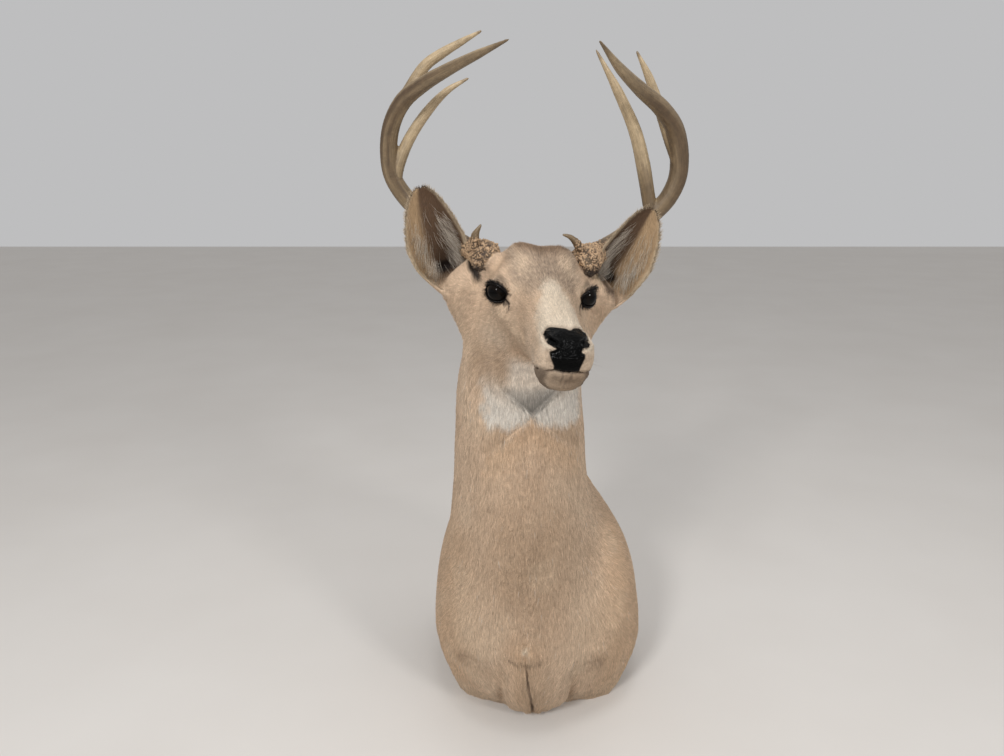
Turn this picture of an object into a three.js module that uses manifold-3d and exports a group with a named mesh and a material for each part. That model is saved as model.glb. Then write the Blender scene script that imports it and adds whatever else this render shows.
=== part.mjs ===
// A whitetail buck shoulder mount: head, neck and chest on a flat wooden backboard.
// Millimetres, +Z up, +X towards the buck's left side, and the nose points along -Y.
// The origin is the centre of the backboard's wall face, so the wall is the plane y = 0.
import * as THREE from "three";
import { mergeVertices } from "three/addons/utils/BufferGeometryUtils.js";
import Module from "manifold-3d";

const wasm = await Module();
wasm.setup();

// ---------------------------------------------------------------- driving dimensions
const GAP = 0.4; // clearance between neighbouring pieces
const CUT = 0.7; // width of the thin cuts that part the flesh
const BOARD_THICKNESS = 19;
const BOARD_HEIGHT = 396;
const BOARD_HALF_WIDTH = 138;
const MOUNT_HEIGHT = BOARD_HEIGHT / 2; // from the lowest level up to the origin

const TRUNK_CELL = 25; // facet sizes of the flesh
const HEAD_CELL = 12.4;

// The head's own frame: x to the buck's left, f forwards to the nose, u up, from the point midway
// between the eyes.
const HEAD_CENTRE = { x: -8, reach: 272, height: 646 };
const HEAD_YAW = 6.5; // degrees towards the buck's left
const HEAD_PITCH = 11.5; // nose down
const HEAD_ROLL = 4.5; // crown leaning to the buck's left

// Eyes, as places in the head's frame.
const EYE_RADIUS = 16.5;
const EYE = { x: 52, f: 2, u: 2 };

// Planes that part the flesh, each through a place on the middle line and tilted about X.
const HEAD_CUT = { reach: 222, height: 575, tilt: 44 };
const NECK_CUT = { reach: 170, height: 350, tilt: 34 };
const STUMP = { inner: 46, outer: 190, front: 262, back: 112, top: 34 };
// Wedges of the head in its own frame, each from an edge across the head: the nose pad lies in front
// of its edge, and the lower jaw below its edge and the mouth line that rises from there.
const PAD = { f: 152, u: 16, tilt: -27 };
const JAW = { f: 103, u: -45, tilt: -20 };
const JAW_HINGE = 36; // how far the lower jaw runs back from the corner of the mouth

// The fleshy root of each ear, from the bottom of its cup down the side of the neck, as places
// (x, reach, height) and the radius at each.
const EAR_ROOTS = [
  { from: [-113, 208, 640], to: [-80, 205, 570], radii: [20, 24] },
  { from: [74, 212, 632], to: [43, 214, 576], radii: [18, 15] },
];

// The ears: where the axis starts and ends, where the cup opens, and how far the axis bows out.
const EAR_THICKNESS = 4.2;
const EARS = {
  ear_right: {
    base: { x: -114, reach: 212, height: 638 },
    tip: { x: -163, reach: 198, height: 773 },
    opens: { x: 0, reach: 0.93, height: 0.35 },
    halfWidth: 41,
    bow: 5,
  },
  ear_left: {
    base: { x: 76, reach: 210, height: 622 },
    tip: { x: 140, reach: 196, height: 745 },
    opens: { x: 0.3, reach: 0.9, height: 0.15 },
    halfWidth: 40,
    bow: -2,
  },
};
// The ear along its axis: width as a share of halfWidth, and how far round the cup closes.
const EAR_FORM = [
  { t: 0, width: 0.46, close: 140 },
  { t: 0.14, width: 0.68, close: 116 },
  { t: 0.3, width: 0.92, close: 86 },
  { t: 0.48, width: 1, close: 62 },
  { t: 0.64, width: 0.88, close: 55 },
  { t: 0.79, width: 0.7, close: 50 },
  { t: 0.9, width: 0.5, close: 48 },
  { t: 0.97, width: 0.28, close: 42 },
  { t: 1, width: 0.12, close: 40 },
];

// The antlers, as stations along each beam and tine: a place and a radius. The beam starts below
// its burr, and each tine starts inside the beam. forks are where the beam is parted, counted in
// stations.
const ANTLERS = {
  antler_right: {
    beam: [
      { x: -67, reach: 231, height: 679, radius: 14 },
      { x: -76, reach: 223, height: 685, radius: 21 },
      { x: -82, reach: 214, height: 689, radius: 18 },
      { x: -91, reach: 200, height: 691, radius: 14.5 },
      { x: -108, reach: 172, height: 696, radius: 13.5 },
      { x: -131, reach: 148, height: 709, radius: 13 },
      { x: -159, reach: 134, height: 731, radius: 12.6 },
      { x: -186, reach: 131, height: 754, radius: 12.2 },
      { x: -205, reach: 137, height: 785, radius: 11.7 },
      { x: -208, reach: 144, height: 818, radius: 11.7 },
      { x: -201, reach: 155, height: 851, radius: 11.4 },
      { x: -183, reach: 172, height: 878, radius: 10.9 },
      { x: -156, reach: 195, height: 895, radius: 9.6 },
      { x: -121, reach: 228, height: 909, radius: 7.5 },
      { x: -84, reach: 262, height: 921, radius: 5.1 },
      { x: -51, reach: 292, height: 931, radius: 1.4 },
    ],
    forks: [7.4, 11.3],
    brow: [
      { x: -86, reach: 213, height: 691, radius: 8 },
      { x: -90, reach: 229, height: 701, radius: 7 },
      { x: -90, reach: 238, height: 715, radius: 5 },
      { x: -83, reach: 241, height: 728, radius: 1.4 },
    ],
    second: [
      { x: -202, reach: 136, height: 778, radius: 9 },
      { x: -196, reach: 139, height: 800, radius: 8.4 },
      { x: -181, reach: 142, height: 832, radius: 7.7 },
      { x: -155, reach: 148, height: 867, radius: 6.6 },
      { x: -128, reach: 155, height: 892, radius: 4.5 },
      { x: -101, reach: 162, height: 906, radius: 1.6 },
    ],
    third: [
      { x: -178, reach: 176, height: 884, radius: 8.9 },
      { x: -153, reach: 184, height: 918, radius: 6.9 },
      { x: -132, reach: 192, height: 931, radius: 6.2 },
      { x: -106, reach: 203, height: 943, radius: 4.2 },
      { x: -82, reach: 215, height: 953, radius: 1.5 },
    ],
  },
  antler_left: {
    beam: [
      { x: 40, reach: 229, height: 674, radius: 14 },
      { x: 50, reach: 221, height: 680, radius: 21 },
      { x: 56, reach: 212, height: 684, radius: 18 },
      { x: 63, reach: 199, height: 686, radius: 14.5 },
      { x: 80, reach: 172, height: 691, radius: 13.5 },
      { x: 104, reach: 148, height: 702, radius: 13 },
      { x: 130, reach: 135, height: 718, radius: 12.5 },
      { x: 154, reach: 134, height: 738, radius: 12.2 },
      { x: 170, reach: 138, height: 757, radius: 12.2 },
      { x: 180, reach: 143, height: 783, radius: 12.5 },
      { x: 179, reach: 150, height: 813, radius: 12.6 },
      { x: 168, reach: 163, height: 845, radius: 12 },
      { x: 146, reach: 183, height: 868, radius: 10.8 },
      { x: 114, reach: 212, height: 887, radius: 8.9 },
      { x: 81, reach: 250, height: 907, radius: 6.1 },
      { x: 52, reach: 288, height: 930, radius: 1.4 },
    ],
    forks: [7, 10.2],
    brow: [
      { x: 56, reach: 211, height: 685, radius: 8 },
      { x: 45, reach: 228, height: 693, radius: 6.6 },
      { x: 36, reach: 238, height: 706, radius: 4.8 },
      { x: 28, reach: 241, height: 713, radius: 3.2 },
      { x: 19, reach: 242, height: 716, radius: 1.3 },
    ],
    second: [
      { x: 148, reach: 136, height: 736, radius: 9.6 },
      { x: 141, reach: 138, height: 767, radius: 9.5 },
      { x: 133, reach: 142, height: 800, radius: 9.7 },
      { x: 119, reach: 150, height: 842, radius: 8.6 },
      { x: 93, reach: 160, height: 890, radius: 6.4 },
      { x: 63, reach: 172, height: 936, radius: 1.6 },
    ],
    third: [
      { x: 178, reach: 150, height: 802, radius: 8.7 },
      { x: 164, reach: 149, height: 835, radius: 7.9 },
      { x: 149, reach: 153, height: 871, radius: 7.2 },
      { x: 131, reach: 162, height: 908, radius: 5.4 },
      { x: 113, reach: 172, height: 936, radius: 1.6 },
    ],
  },
};

// Horizontal slices of the trunk. middle and halfWidth lie across the wall, and front and back are
// distances from the wall.
const TRUNK_SLICES = [
  { height: -14, middle: -5, halfWidth: 58, front: 190, back: -60, square: 2 },
  { height: 6, middle: -4, halfWidth: 110, front: 222, back: -110, square: 2.1 },
  { height: 50, middle: -2, halfWidth: 143, front: 255, back: -160, square: 2.2 },
  { height: 115, middle: -3, halfWidth: 157, front: 260, back: -170, square: 2.25 },
  { height: 190, middle: -5, halfWidth: 147, front: 238, back: -160, square: 2.2 },
  { height: 255, middle: -9, halfWidth: 122, front: 204, back: -140, square: 2.1 },
  { height: 315, middle: -12, halfWidth: 86, front: 160, back: -110, square: 2 },
  { height: 360, middle: -14, halfWidth: 54, front: 108, back: -80, square: 2 },
  { height: 392, middle: -15, halfWidth: 27, front: 60, back: -50, square: 2 },
];
// Horizontal slices of the neck, from the brisket's prow up to the back of the skull.
const NECK_SLICES = [
  { height: 24, middle: -14, halfWidth: 34, front: 248, back: 180, square: 2 },
  { height: 60, middle: -15, halfWidth: 72, front: 276, back: 130, square: 2 },
  { height: 120, middle: -17, halfWidth: 98, front: 292, back: 80, square: 2 },
  { height: 200, middle: -21, halfWidth: 108, front: 297, back: 40, square: 2 },
  { height: 290, middle: -26, halfWidth: 107, front: 296, back: 20, square: 2 },
  { height: 370, middle: -30, halfWidth: 98, front: 291, back: 14, square: 2.05 },
  { height: 440, middle: -31.5, halfWidth: 92.5, front: 286, back: 56, square: 2.1 },
  { height: 510, middle: -33, halfWidth: 86, front: 281, back: 96, square: 2.15 },
  { height: 575, middle: -26, halfWidth: 80, front: 272, back: 124, square: 2.1 },
  { height: 630, middle: -20, halfWidth: 70, front: 262, back: 150, square: 2 },
  { height: 668, middle: -16, halfWidth: 44, front: 235, back: 172, square: 2 },
];
// Upright sections of the head along f. level is the height of the widest place.
const HEAD_SECTIONS = [
  { f: -104, halfWidth: 34, top: 20, bottom: -56, level: -18, square: 2 },
  { f: -82, halfWidth: 48, top: 35, bottom: -76, level: -14, square: 2.1 },
  { f: -50, halfWidth: 54, top: 44, bottom: -86, level: -8, square: 2.2 },
  { f: -20, halfWidth: 52, top: 42, bottom: -86, level: -4, square: 2.2 },
  { f: 10, halfWidth: 46, top: 38, bottom: -79, level: -6, square: 2.15 },
  { f: 40, halfWidth: 38, top: 33, bottom: -70, level: -12, square: 2.1 },
  { f: 75, halfWidth: 32, top: 27, bottom: -61, level: -16, square: 2.1 },
  { f: 110, halfWidth: 29, top: 23, bottom: -53, level: -16, square: 2.15 },
  { f: 140, halfWidth: 30, top: 20, bottom: -47, level: -12, square: 2.25 },
  { f: 160, halfWidth: 30, top: 17, bottom: -44, level: -8, square: 2.4 },
  { f: 173, halfWidth: 27, top: 13, bottom: -36, level: -5, square: 2.4 },
  { f: 180, halfWidth: 21, top: 8, bottom: -26, level: -4, square: 2.3 },
];

// ---------------------------------------------------------------- fields
// A field is a function of a place that is below zero inside the flesh and grows outwards.
const radians = THREE.MathUtils.degToRad;

function smoothUnion(a, b, blend) {
  const h = Math.max(blend - Math.abs(a - b), 0) / blend;
  return Math.min(a, b) - (h * h * blend) / 4;
}

function ellipsoid(x, y, z, centre, radii) {
  const a = (x - centre[0]) / radii[0];
  const b = (y - centre[1]) / radii[1];
  const c = (z - centre[2]) / radii[2];
  return (Math.hypot(a, b, c) - 1) * Math.min(...radii);
}

// A rod from a to b whose radius runs from ra to rb.
function roundedRod(x, y, z, a, b, ra, rb) {
  const ab = [b[0] - a[0], b[1] - a[1], b[2] - a[2]];
  const ap = [x - a[0], y - a[1], z - a[2]];
  const length2 = ab[0] ** 2 + ab[1] ** 2 + ab[2] ** 2;
  const along = (ap[0] * ab[0] + ap[1] * ab[1] + ap[2] * ab[2]) / length2;
  const t = THREE.MathUtils.clamp(along, 0, 1);
  return Math.hypot(ap[0] - t * ab[0], ap[1] - t * ab[1], ap[2] - t * ab[2]) - ra - t * (rb - ra);
}

// The station at a place along a list of stations, by a smooth curve through them.
function stationAt(stations, axis, place) {
  const last = stations.length - 1;
  const at = THREE.MathUtils.clamp(place, stations[0][axis], stations[last][axis]);
  let i = 0;
  while (i < last - 1 && at > stations[i + 1][axis]) i++;
  const [a, b] = [stations[i], stations[i + 1]];
  const [before, after] = [stations[Math.max(i - 1, 0)], stations[Math.min(i + 2, last)]];
  const span = b[axis] - a[axis];
  const t = (at - a[axis]) / span;
  const found = {};
  for (const key of Object.keys(a)) {
    const slopeA = ((b[key] - before[key]) / (b[axis] - before[axis])) * span;
    const slopeB = ((after[key] - a[key]) / (after[axis] - a[axis])) * span;
    found[key] =
      (2 * t ** 3 - 3 * t ** 2 + 1) * a[key] +
      (t ** 3 - 2 * t ** 2 + t) * slopeA +
      (3 * t ** 2 - 2 * t ** 3) * b[key] +
      (t ** 3 - t ** 2) * slopeB;
  }
  return { ...found, beyond: Math.abs(place - at) };
}

// A rounded oval in a section, closed past the last section by a cap of the given length.
function ovalField(across, deep, acrossRadius, deepRadius, { square, beyond, cap }) {
  const sum = Math.abs(across / acrossRadius) ** square + Math.abs(deep / deepRadius) ** square;
  return (Math.hypot(sum ** (1 / square), beyond / cap) - 1) * Math.min(acrossRadius, deepRadius);
}

function sliceField(slices, x, reach, height) {
  const s = stationAt(slices, "height", height);
  const middleReach = (s.front + s.back) / 2;
  const deepRadius = (s.front - s.back) / 2;
  return ovalField(x - s.middle, reach - middleReach, s.halfWidth, deepRadius, { ...s, cap: 16 });
}

function stubField(side, x, reach, height) {
  const thigh = roundedRod(x, reach, height, [side * 88, 150, 95], [side * 82, 158, -30], 60, 35);
  const shoulder = ellipsoid(x, reach, height, [side * 96, 122, 138], [56, 108, 128]);
  return smoothUnion(thigh, shoulder, 34);
}

const headFrame = new THREE.Matrix4().compose(
  new THREE.Vector3(HEAD_CENTRE.x, -HEAD_CENTRE.reach, HEAD_CENTRE.height),
  new THREE.Quaternion().setFromEuler(
    new THREE.Euler(radians(HEAD_PITCH), radians(HEAD_ROLL), radians(HEAD_YAW), "ZXY"),
  ),
  new THREE.Vector3(1, 1, 1),
);
const headInverse = headFrame.clone().invert();

// A place in the head's own frame as a vector in the mount's frame, and back.
const fromHead = (x, f, u) => new THREE.Vector3(x, -f, u).applyMatrix4(headFrame);
const held = new THREE.Vector3();
function inHead(x, reach, height) {
  held.set(x, -reach, height).applyMatrix4(headInverse);
  return [held.x, -held.y, held.z];
}

function headField(x, reach, height) {
  const [hx, f, u] = inHead(x, reach, height);
  const s = stationAt(HEAD_SECTIONS, "f", f);
  const up = u > s.level ? s.top - s.level : s.level - s.bottom;
  let field = ovalField(hx, u - s.level, s.halfWidth, up, { ...s, cap: f > 0 ? 9 : 30 });
  const side = Math.abs(hx);
  const part = (centre, radii) => ellipsoid(side, f, u, centre, radii);
  field = smoothUnion(field, part([43, -6, 6], [18, 25, 22]), 14); // orbit
  field = smoothUnion(field, part([25, -38, 35], [19, 24, 14]), 12); // edge of the crown
  field = smoothUnion(field, roundedRod(side, f, u, [43, 2, -18], [30, 62, -24], 9, 6), 18); // cheekbone
  field = smoothUnion(field, part([34, -30, -42], [22, 44, 38]), 20); // jaw muscle
  field = smoothUnion(field, part([70, -75, -20], [31, 28, 40]), 22); // ear butt
  field = smoothUnion(field, roundedRod(side, f, u, [34, -44, 9], [55, -49, 20], 18, 14), 10); // pedicle
  field = smoothUnion(field, part([14, 158, -3], [10, 14, 12]), 8); // nostril wing
  field = smoothUnion(field, part([3, 156, -37], [18, 17, 10]), 10); // chin
  return field;
}

function fleshField(x, y, z) {
  const reach = -y;
  const trunk = sliceField(TRUNK_SLICES, x, reach, z);
  const neck = sliceField(NECK_SLICES, x, reach, z);
  let field = smoothUnion(trunk, neck, 46);
  field = smoothUnion(field, stubField(1, x, reach, z), 40);
  field = smoothUnion(field, stubField(-1, x, reach, z), 40);
  for (const { from, to, radii } of EAR_ROOTS) {
    field = smoothUnion(field, roundedRod(x, reach, z, from, to, ...radii), 16);
  }
  return smoothUnion(field, headField(x, reach, z), 26);
}

// ---------------------------------------------------------------- solids
// The surface where a field is zero, as a closed mesh: one point in each cell that the surface
// crosses, moved onto the surface, and a four-sided face across each crossed edge of the grid. The
// mesh is closed flat one cell inside the box from low to high.
function surfaceOf(openField, low, high, cell) {
  const field = (...place) => {
    const beyond = place.map((v, n) => Math.max(low[n] + cell - v, v - high[n] + cell));
    return Math.max(openField(...place), ...beyond);
  };
  const count = low.map((v, i) => Math.ceil((high[i] - v) / cell) + 1);
  const at = (i, j, k) => i + count[0] * (j + count[1] * k);
  const values = new Float64Array(count[0] * count[1] * count[2]);
  for (let k = 0; k < count[2]; k++)
    for (let j = 0; j < count[1]; j++)
      for (let i = 0; i < count[0]; i++)
        values[at(i, j, k)] = field(low[0] + i * cell, low[1] + j * cell, low[2] + k * cell);
  const positions = [];
  const pointOf = new Map();
  const corners = [0, 1, 2, 3, 4, 5, 6, 7].map((c) => [c & 1, (c >> 1) & 1, c >> 2]);
  for (let k = 0; k < count[2] - 1; k++)
    for (let j = 0; j < count[1] - 1; j++)
      for (let i = 0; i < count[0] - 1; i++) {
        const crossings = [];
        for (const a of corners)
          for (let axis = 0; axis < 3; axis++) {
            if (a[axis]) continue;
            const b = a.map((v, n) => (n === axis ? 1 : v));
            const va = values[at(i + a[0], j + a[1], k + a[2])];
            const vb = values[at(i + b[0], j + b[1], k + b[2])];
            if (va < 0 === vb < 0) continue;
            const t = va / (va - vb);
            crossings.push(a.map((v, n) => v + t * (b[n] - v)));
          }
        if (!crossings.length) continue;
        const mean = [0, 1, 2].map((n) => crossings.reduce((s, c) => s + c[n], 0) / crossings.length);
        const place = [i, j, k].map((v, n) => low[n] + (v + mean[n]) * cell);
        pointOf.set(at(i, j, k), positions.length / 3);
        positions.push(...ontoSurface(field, place, cell));
      }
  const triangles = [];
  const face = (a, b, c, d, flip) => {
    const [p, q, r, s] = [a, b, c, d].map((cellIndex) => pointOf.get(cellIndex));
    triangles.push(...(flip ? [p, r, q, p, s, r] : [p, q, r, p, r, s]));
  };
  for (let k = 1; k < count[2] - 1; k++)
    for (let j = 1; j < count[1] - 1; j++)
      for (let i = 1; i < count[0] - 1; i++) {
        const inside = values[at(i, j, k)] < 0;
        if (inside !== values[at(i + 1, j, k)] < 0)
          face(at(i, j - 1, k - 1), at(i, j, k - 1), at(i, j, k), at(i, j - 1, k), !inside);
        if (inside !== values[at(i, j + 1, k)] < 0)
          face(at(i - 1, j, k - 1), at(i - 1, j, k), at(i, j, k), at(i, j, k - 1), !inside);
        if (inside !== values[at(i, j, k + 1)] < 0)
          face(at(i - 1, j - 1, k), at(i, j - 1, k), at(i, j, k), at(i - 1, j, k), !inside);
      }
  const geometry = new THREE.BufferGeometry();
  geometry.setAttribute("position", new THREE.Float32BufferAttribute(positions, 3));
  geometry.setIndex(triangles);
  return geometry;
}

// Moves a place along the field's slope until it lies on the surface, by under half a cell.
function ontoSurface(field, start, cell) {
  const step = 0.2;
  const place = [...start];
  for (let round = 0; round < 4; round++) {
    const value = field(...place);
    const slope = [0, 1, 2].map((n) => {
      const near = place.map((v, m) => (m === n ? v + step : v));
      return (field(...near) - value) / step;
    });
    const steep = slope[0] ** 2 + slope[1] ** 2 + slope[2] ** 2;
    if (steep < 1e-6) break;
    for (let n = 0; n < 3; n++) place[n] -= (value * slope[n]) / steep;
  }
  const moved = Math.hypot(...place.map((v, n) => v - start[n]));
  return moved < cell / 2 ? place : start;
}

function solidOf(geometry) {
  const bare = geometry.clone();
  for (const name of Object.keys(bare.attributes)) if (name !== "position") bare.deleteAttribute(name);
  const merged = mergeVertices(bare, 1e-3);
  return new wasm.Manifold(
    new wasm.Mesh({
      numProp: 3,
      vertProperties: new Float32Array(merged.attributes.position.array),
      triVerts: new Uint32Array(merged.index.array),
    }),
  );
}

// The largest of a solid's separate bodies, as a geometry.
function geometryOf(solid) {
  const bodies = solid.decompose().sort((a, b) => b.volume() - a.volume());
  const mesh = bodies[0].getMesh();
  const geometry = new THREE.BufferGeometry();
  const positions = new Float32Array(mesh.numVert * 3);
  for (let i = 0; i < mesh.numVert; i++) {
    positions.set(mesh.vertProperties.subarray(i * mesh.numProp, i * mesh.numProp + 3), i * 3);
  }
  geometry.setAttribute("position", new THREE.BufferAttribute(positions, 3));
  geometry.setIndex(new THREE.BufferAttribute(new Uint32Array(mesh.triVerts), 1));
  return geometry;
}

// A box with its middle at a place, tilted about X and then turned about Z, in degrees.
function boxSolid(size, middle, tilt = 0, turn = 0) {
  const box = new THREE.BoxGeometry(...size);
  box.rotateX(radians(tilt));
  box.rotateZ(radians(turn));
  box.translate(...middle);
  return solidOf(box);
}

// A closed skin over rings of points, all with the same number of points.
function solidOfRings(rings) {
  const sides = rings[0].length;
  const positions = rings.flat().flatMap((p) => [p.x, p.y, p.z]);
  const triangles = [];
  for (let r = 0; r + 1 < rings.length; r++)
    for (let i = 0; i < sides; i++) {
      const j = (i + 1) % sides;
      const [a, b, c, d] = [r * sides + i, r * sides + j, (r + 1) * sides + j, (r + 1) * sides + i];
      triangles.push(a, b, c, a, c, d);
    }
  const flat = THREE.ShapeUtils.triangulateShape;
  for (const [ring, first, turn] of [[rings[0], 0, true], [rings.at(-1), (rings.length - 1) * sides, false]]) {
    const [normal, across] = ringAxes(ring);
    const up = normal.clone().cross(across);
    const outline = ring.map((p) => new THREE.Vector2(p.dot(across), p.dot(up)));
    for (const [a, b, c] of flat(outline, [])) {
      triangles.push(first + a, first + (turn ? c : b), first + (turn ? b : c));
    }
  }
  const geometry = new THREE.BufferGeometry();
  geometry.setAttribute("position", new THREE.Float32BufferAttribute(positions, 3));
  geometry.setIndex(triangles);
  return solidOf(geometry);
}

// The normal of a flat ring of points, and a direction across it.
function ringAxes(ring) {
  const normal = new THREE.Vector3();
  ring.forEach((p, i) => normal.add(p.clone().cross(ring[(i + 1) % ring.length])));
  const across = ring[1].clone().sub(ring[0]).normalize();
  return [normal.normalize(), across];
}

// ---------------------------------------------------------------- flesh
const FAR = 1600;

// The half of space above (side 1) or below (side -1) a plane, held back by half a cut.
function halfSpace({ reach, height, tilt }, side) {
  const offset = side * (FAR / 2 + CUT / 2);
  const lean = radians(tilt);
  return boxSolid([FAR, FAR, FAR], [0, -reach - offset * Math.sin(lean), height + offset * Math.cos(lean)], tilt);
}

// A box in the head's frame, tilted about an edge across the head. back and up are how far it
// reaches behind and above that edge.
const BIG = 240;
function headWedge({ f, u, tilt }, back, up, grow) {
  const box = new THREE.BoxGeometry(BIG + 2 * grow, BIG + 2 * grow, BIG + 2 * grow);
  box.translate(0, back - BIG / 2, up - BIG / 2);
  box.rotateX(radians(tilt));
  box.translate(0, -f, u);
  box.applyMatrix4(headFrame);
  return solidOf(box);
}
const padWedge = (grow) => headWedge(PAD, 0, BIG / 2, grow);
const jawWedge = (grow) => headWedge(JAW, JAW_HINGE, 0, grow);

function eyeSolid(side, grow) {
  const eye = new THREE.SphereGeometry(EYE_RADIUS + grow, 16, 9);
  eye.rotateZ(radians(90));
  eye.translate(side * EYE.x, -EYE.f, EYE.u);
  eye.applyMatrix4(headFrame);
  return solidOf(eye);
}

function stumpBox(side, grow) {
  const { inner, outer, front, back, top } = STUMP;
  const size = [outer - inner, front - back, top + 40].map((v) => v + 2 * grow);
  return boxSolid(size, [(side * (inner + outer)) / 2, -(front + back) / 2, (top - 40) / 2]);
}

function fleshSolids() {
  const wide = solidOf(surfaceOf(fleshField, [-200, -330, -60], [200, 40, 720], TRUNK_CELL));
  const fine = solidOf(surfaceOf(fleshField, [-150, -480, 380], [150, -60, 760], HEAD_CELL));
  const wall = boxSolid([FAR, FAR, FAR], [0, FAR / 2 - BOARD_THICKNESS - GAP, 0]);
  const ground = boxSolid([FAR, FAR, FAR], [0, 0, -FAR / 2]);
  const body = wide.subtract(wall).subtract(ground);
  const chest = body.intersect(halfSpace(NECK_CUT, -1));
  const skull = fine
    .intersect(halfSpace(HEAD_CUT, 1))
    .subtract(eyeSolid(1, GAP))
    .subtract(eyeSolid(-1, GAP));
  return {
    trunk: chest.subtract(stumpBox(1, CUT)).subtract(stumpBox(-1, CUT)),
    foreleg_stump_left: chest.intersect(stumpBox(1, 0)),
    foreleg_stump_right: chest.intersect(stumpBox(-1, 0)),
    neck: body.intersect(halfSpace(NECK_CUT, 1)).intersect(halfSpace(HEAD_CUT, -1)),
    head: skull.subtract(padWedge(CUT)).subtract(jawWedge(CUT)),
    nose_pad: skull.intersect(padWedge(0)).subtract(jawWedge(CUT)),
    lower_jaw: skull.intersect(jawWedge(0)),
  };
}

// The head and neck a little larger, to trim what stands on them.
function grownHead() {
  const grown = (x, y, z) => fleshField(x, y, z) - 3 * GAP;
  return solidOf(surfaceOf(grown, [-150, -480, 380], [150, -60, 760], HEAD_CELL));
}

// ---------------------------------------------------------------- ears
const placed = ({ x, reach, height }) => new THREE.Vector3(x, -reach, height);

// A leaf-shaped cup: arcs round an axis that runs from the base to the tip.
function earSolid({ base, tip, opens, halfWidth, bow }) {
  const start = placed(base);
  const axis = placed(tip).sub(start);
  const length = axis.length();
  axis.normalize();
  const open = placed(opens).addScaledVector(axis, -placed(opens).dot(axis)).normalize();
  const across = open.clone().cross(axis);
  const steps = 9;
  const rings = EAR_FORM.map(({ t, width, close }) => {
    const radius = (halfWidth * width) / Math.sin(radians(Math.min(close, 90)));
    const thickness = Math.min(EAR_THICKNESS, radius * 0.5);
    const curl = 10 * Math.sin(Math.PI * t) - 6 * t;
    const sink = radius * Math.cos(radians(Math.min(close, 90)));
    const middle = start.clone().addScaledVector(axis, t * length);
    middle.addScaledVector(across, bow * Math.sin(Math.PI * t));
    middle.addScaledVector(open, curl + sink - 0.4 * radius * (1 - t));
    const arc = (r, from, to) =>
      Array.from({ length: steps }, (_, i) => {
        const angle = radians(from + ((to - from) * i) / (steps - 1));
        const p = middle.clone().addScaledVector(across, r * Math.sin(angle));
        return p.addScaledVector(open, -r * Math.cos(angle));
      });
    return [...arc(radius, -close, close), ...arc(radius - thickness, close, -close)];
  });
  return solidOfRings(rings);
}

// ---------------------------------------------------------------- antlers
// Places along a list of stations where a rod has its rings, with a thin cut at each of the cuts.
function ringPlaces(stations, cuts) {
  const count = Math.round((stations.length - 1) * 1.5);
  const even = Array.from({ length: count + 1 }, (_, i) => (i * (stations.length - 1)) / count);
  const clear = even.filter((t) => cuts.every((cut) => Math.abs(t - cut) > 0.2));
  const half = 0.009;
  return [...clear, ...cuts.flatMap((cut) => [cut - half, cut + half])].sort((a, b) => a - b);
}

// Rings of a tapering round rod through stations, at places counted along them.
function rodRings(stations, places, sides, grow = 0) {
  const curve = new THREE.CatmullRomCurve3(stations.map(placed), false, "centripetal");
  const last = stations.length - 1;
  let side = new THREE.Vector3(0, 1, 0).cross(curve.getTangent(0));
  return places.map((t) => {
    const middle = curve.getPoint(t / last);
    const along = curve.getTangent(t / last);
    side = side.clone().addScaledVector(along, -side.dot(along)).normalize();
    const up = along.clone().cross(side);
    const i = Math.min(Math.floor(t), last - 1);
    const radius = THREE.MathUtils.lerp(stations[i].radius, stations[i + 1].radius, t - i) + grow;
    return Array.from({ length: sides }, (_, n) => {
      const angle = (2 * Math.PI * n) / sides;
      const p = middle.clone().addScaledVector(side, radius * Math.cos(angle));
      return p.addScaledVector(up, radius * Math.sin(angle));
    });
  });
}

const tineSolid = (stations, sides) => solidOfRings(rodRings(stations, ringPlaces(stations, []), sides));

// The beam as pieces between its cuts, and as one whole a little larger, to trim what meets it.
function beamSolids(beam, cuts) {
  const places = ringPlaces(beam, cuts);
  const rings = rodRings(beam, places, 10);
  const ends = [-1, ...cuts, beam.length];
  const between = (from, to) => rings.filter((_, i) => places[i] > from && places[i] < to);
  const pieces = ends.slice(1).map((to, i) => solidOfRings(between(ends[i], to)));
  return { pieces, whole: solidOfRings(rodRings(beam, places, 10, 1.5 * GAP)) };
}

// ---------------------------------------------------------------- assembly
const mount = new THREE.Group();
const finish = (color, roughness) => new THREE.MeshStandardMaterial({ color, roughness, metalness: 0 });
const HIDE = finish(0xb39a7c, 0.9);
const ANTLER = finish(0x8c7350, 0.45);
const GLASS = finish(0x0b0807, 0.08);
const NOSE = finish(0x100e0e, 0.3);
const WOOD = finish(0xb58a5a, 0.7);

function add(name, solid, material) {
  const mesh = new THREE.Mesh(geometryOf(solid), material);
  mesh.name = name;
  mount.add(mesh);
}

const flesh = fleshSolids();
for (const [name, solid] of Object.entries(flesh)) add(name, solid, name === "nose_pad" ? NOSE : HIDE);
add("eye_left", eyeSolid(1, 0), GLASS);
add("eye_right", eyeSolid(-1, 0), GLASS);

const head = grownHead();
for (const [name, { beam, forks, brow, second, third }] of Object.entries(ANTLERS)) {
  const { pieces, whole } = beamSolids(beam, forks);
  const ear = name.replace("antler", "ear");
  add(ear, earSolid(EARS[ear]).subtract(head).subtract(whole), HIDE);
  ["base", "middle", "tip"].forEach((part, i) => add(`${name}_${part}`, pieces[i].subtract(head), ANTLER));
  add(`${name}_brow_tine`, tineSolid(brow, 8).subtract(whole).subtract(head), ANTLER);
  add(`${name}_second_tine`, tineSolid(second, 8).subtract(whole), ANTLER);
  add(`${name}_third_tine`, tineSolid(third, 8).subtract(whole), ANTLER);
}

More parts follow.
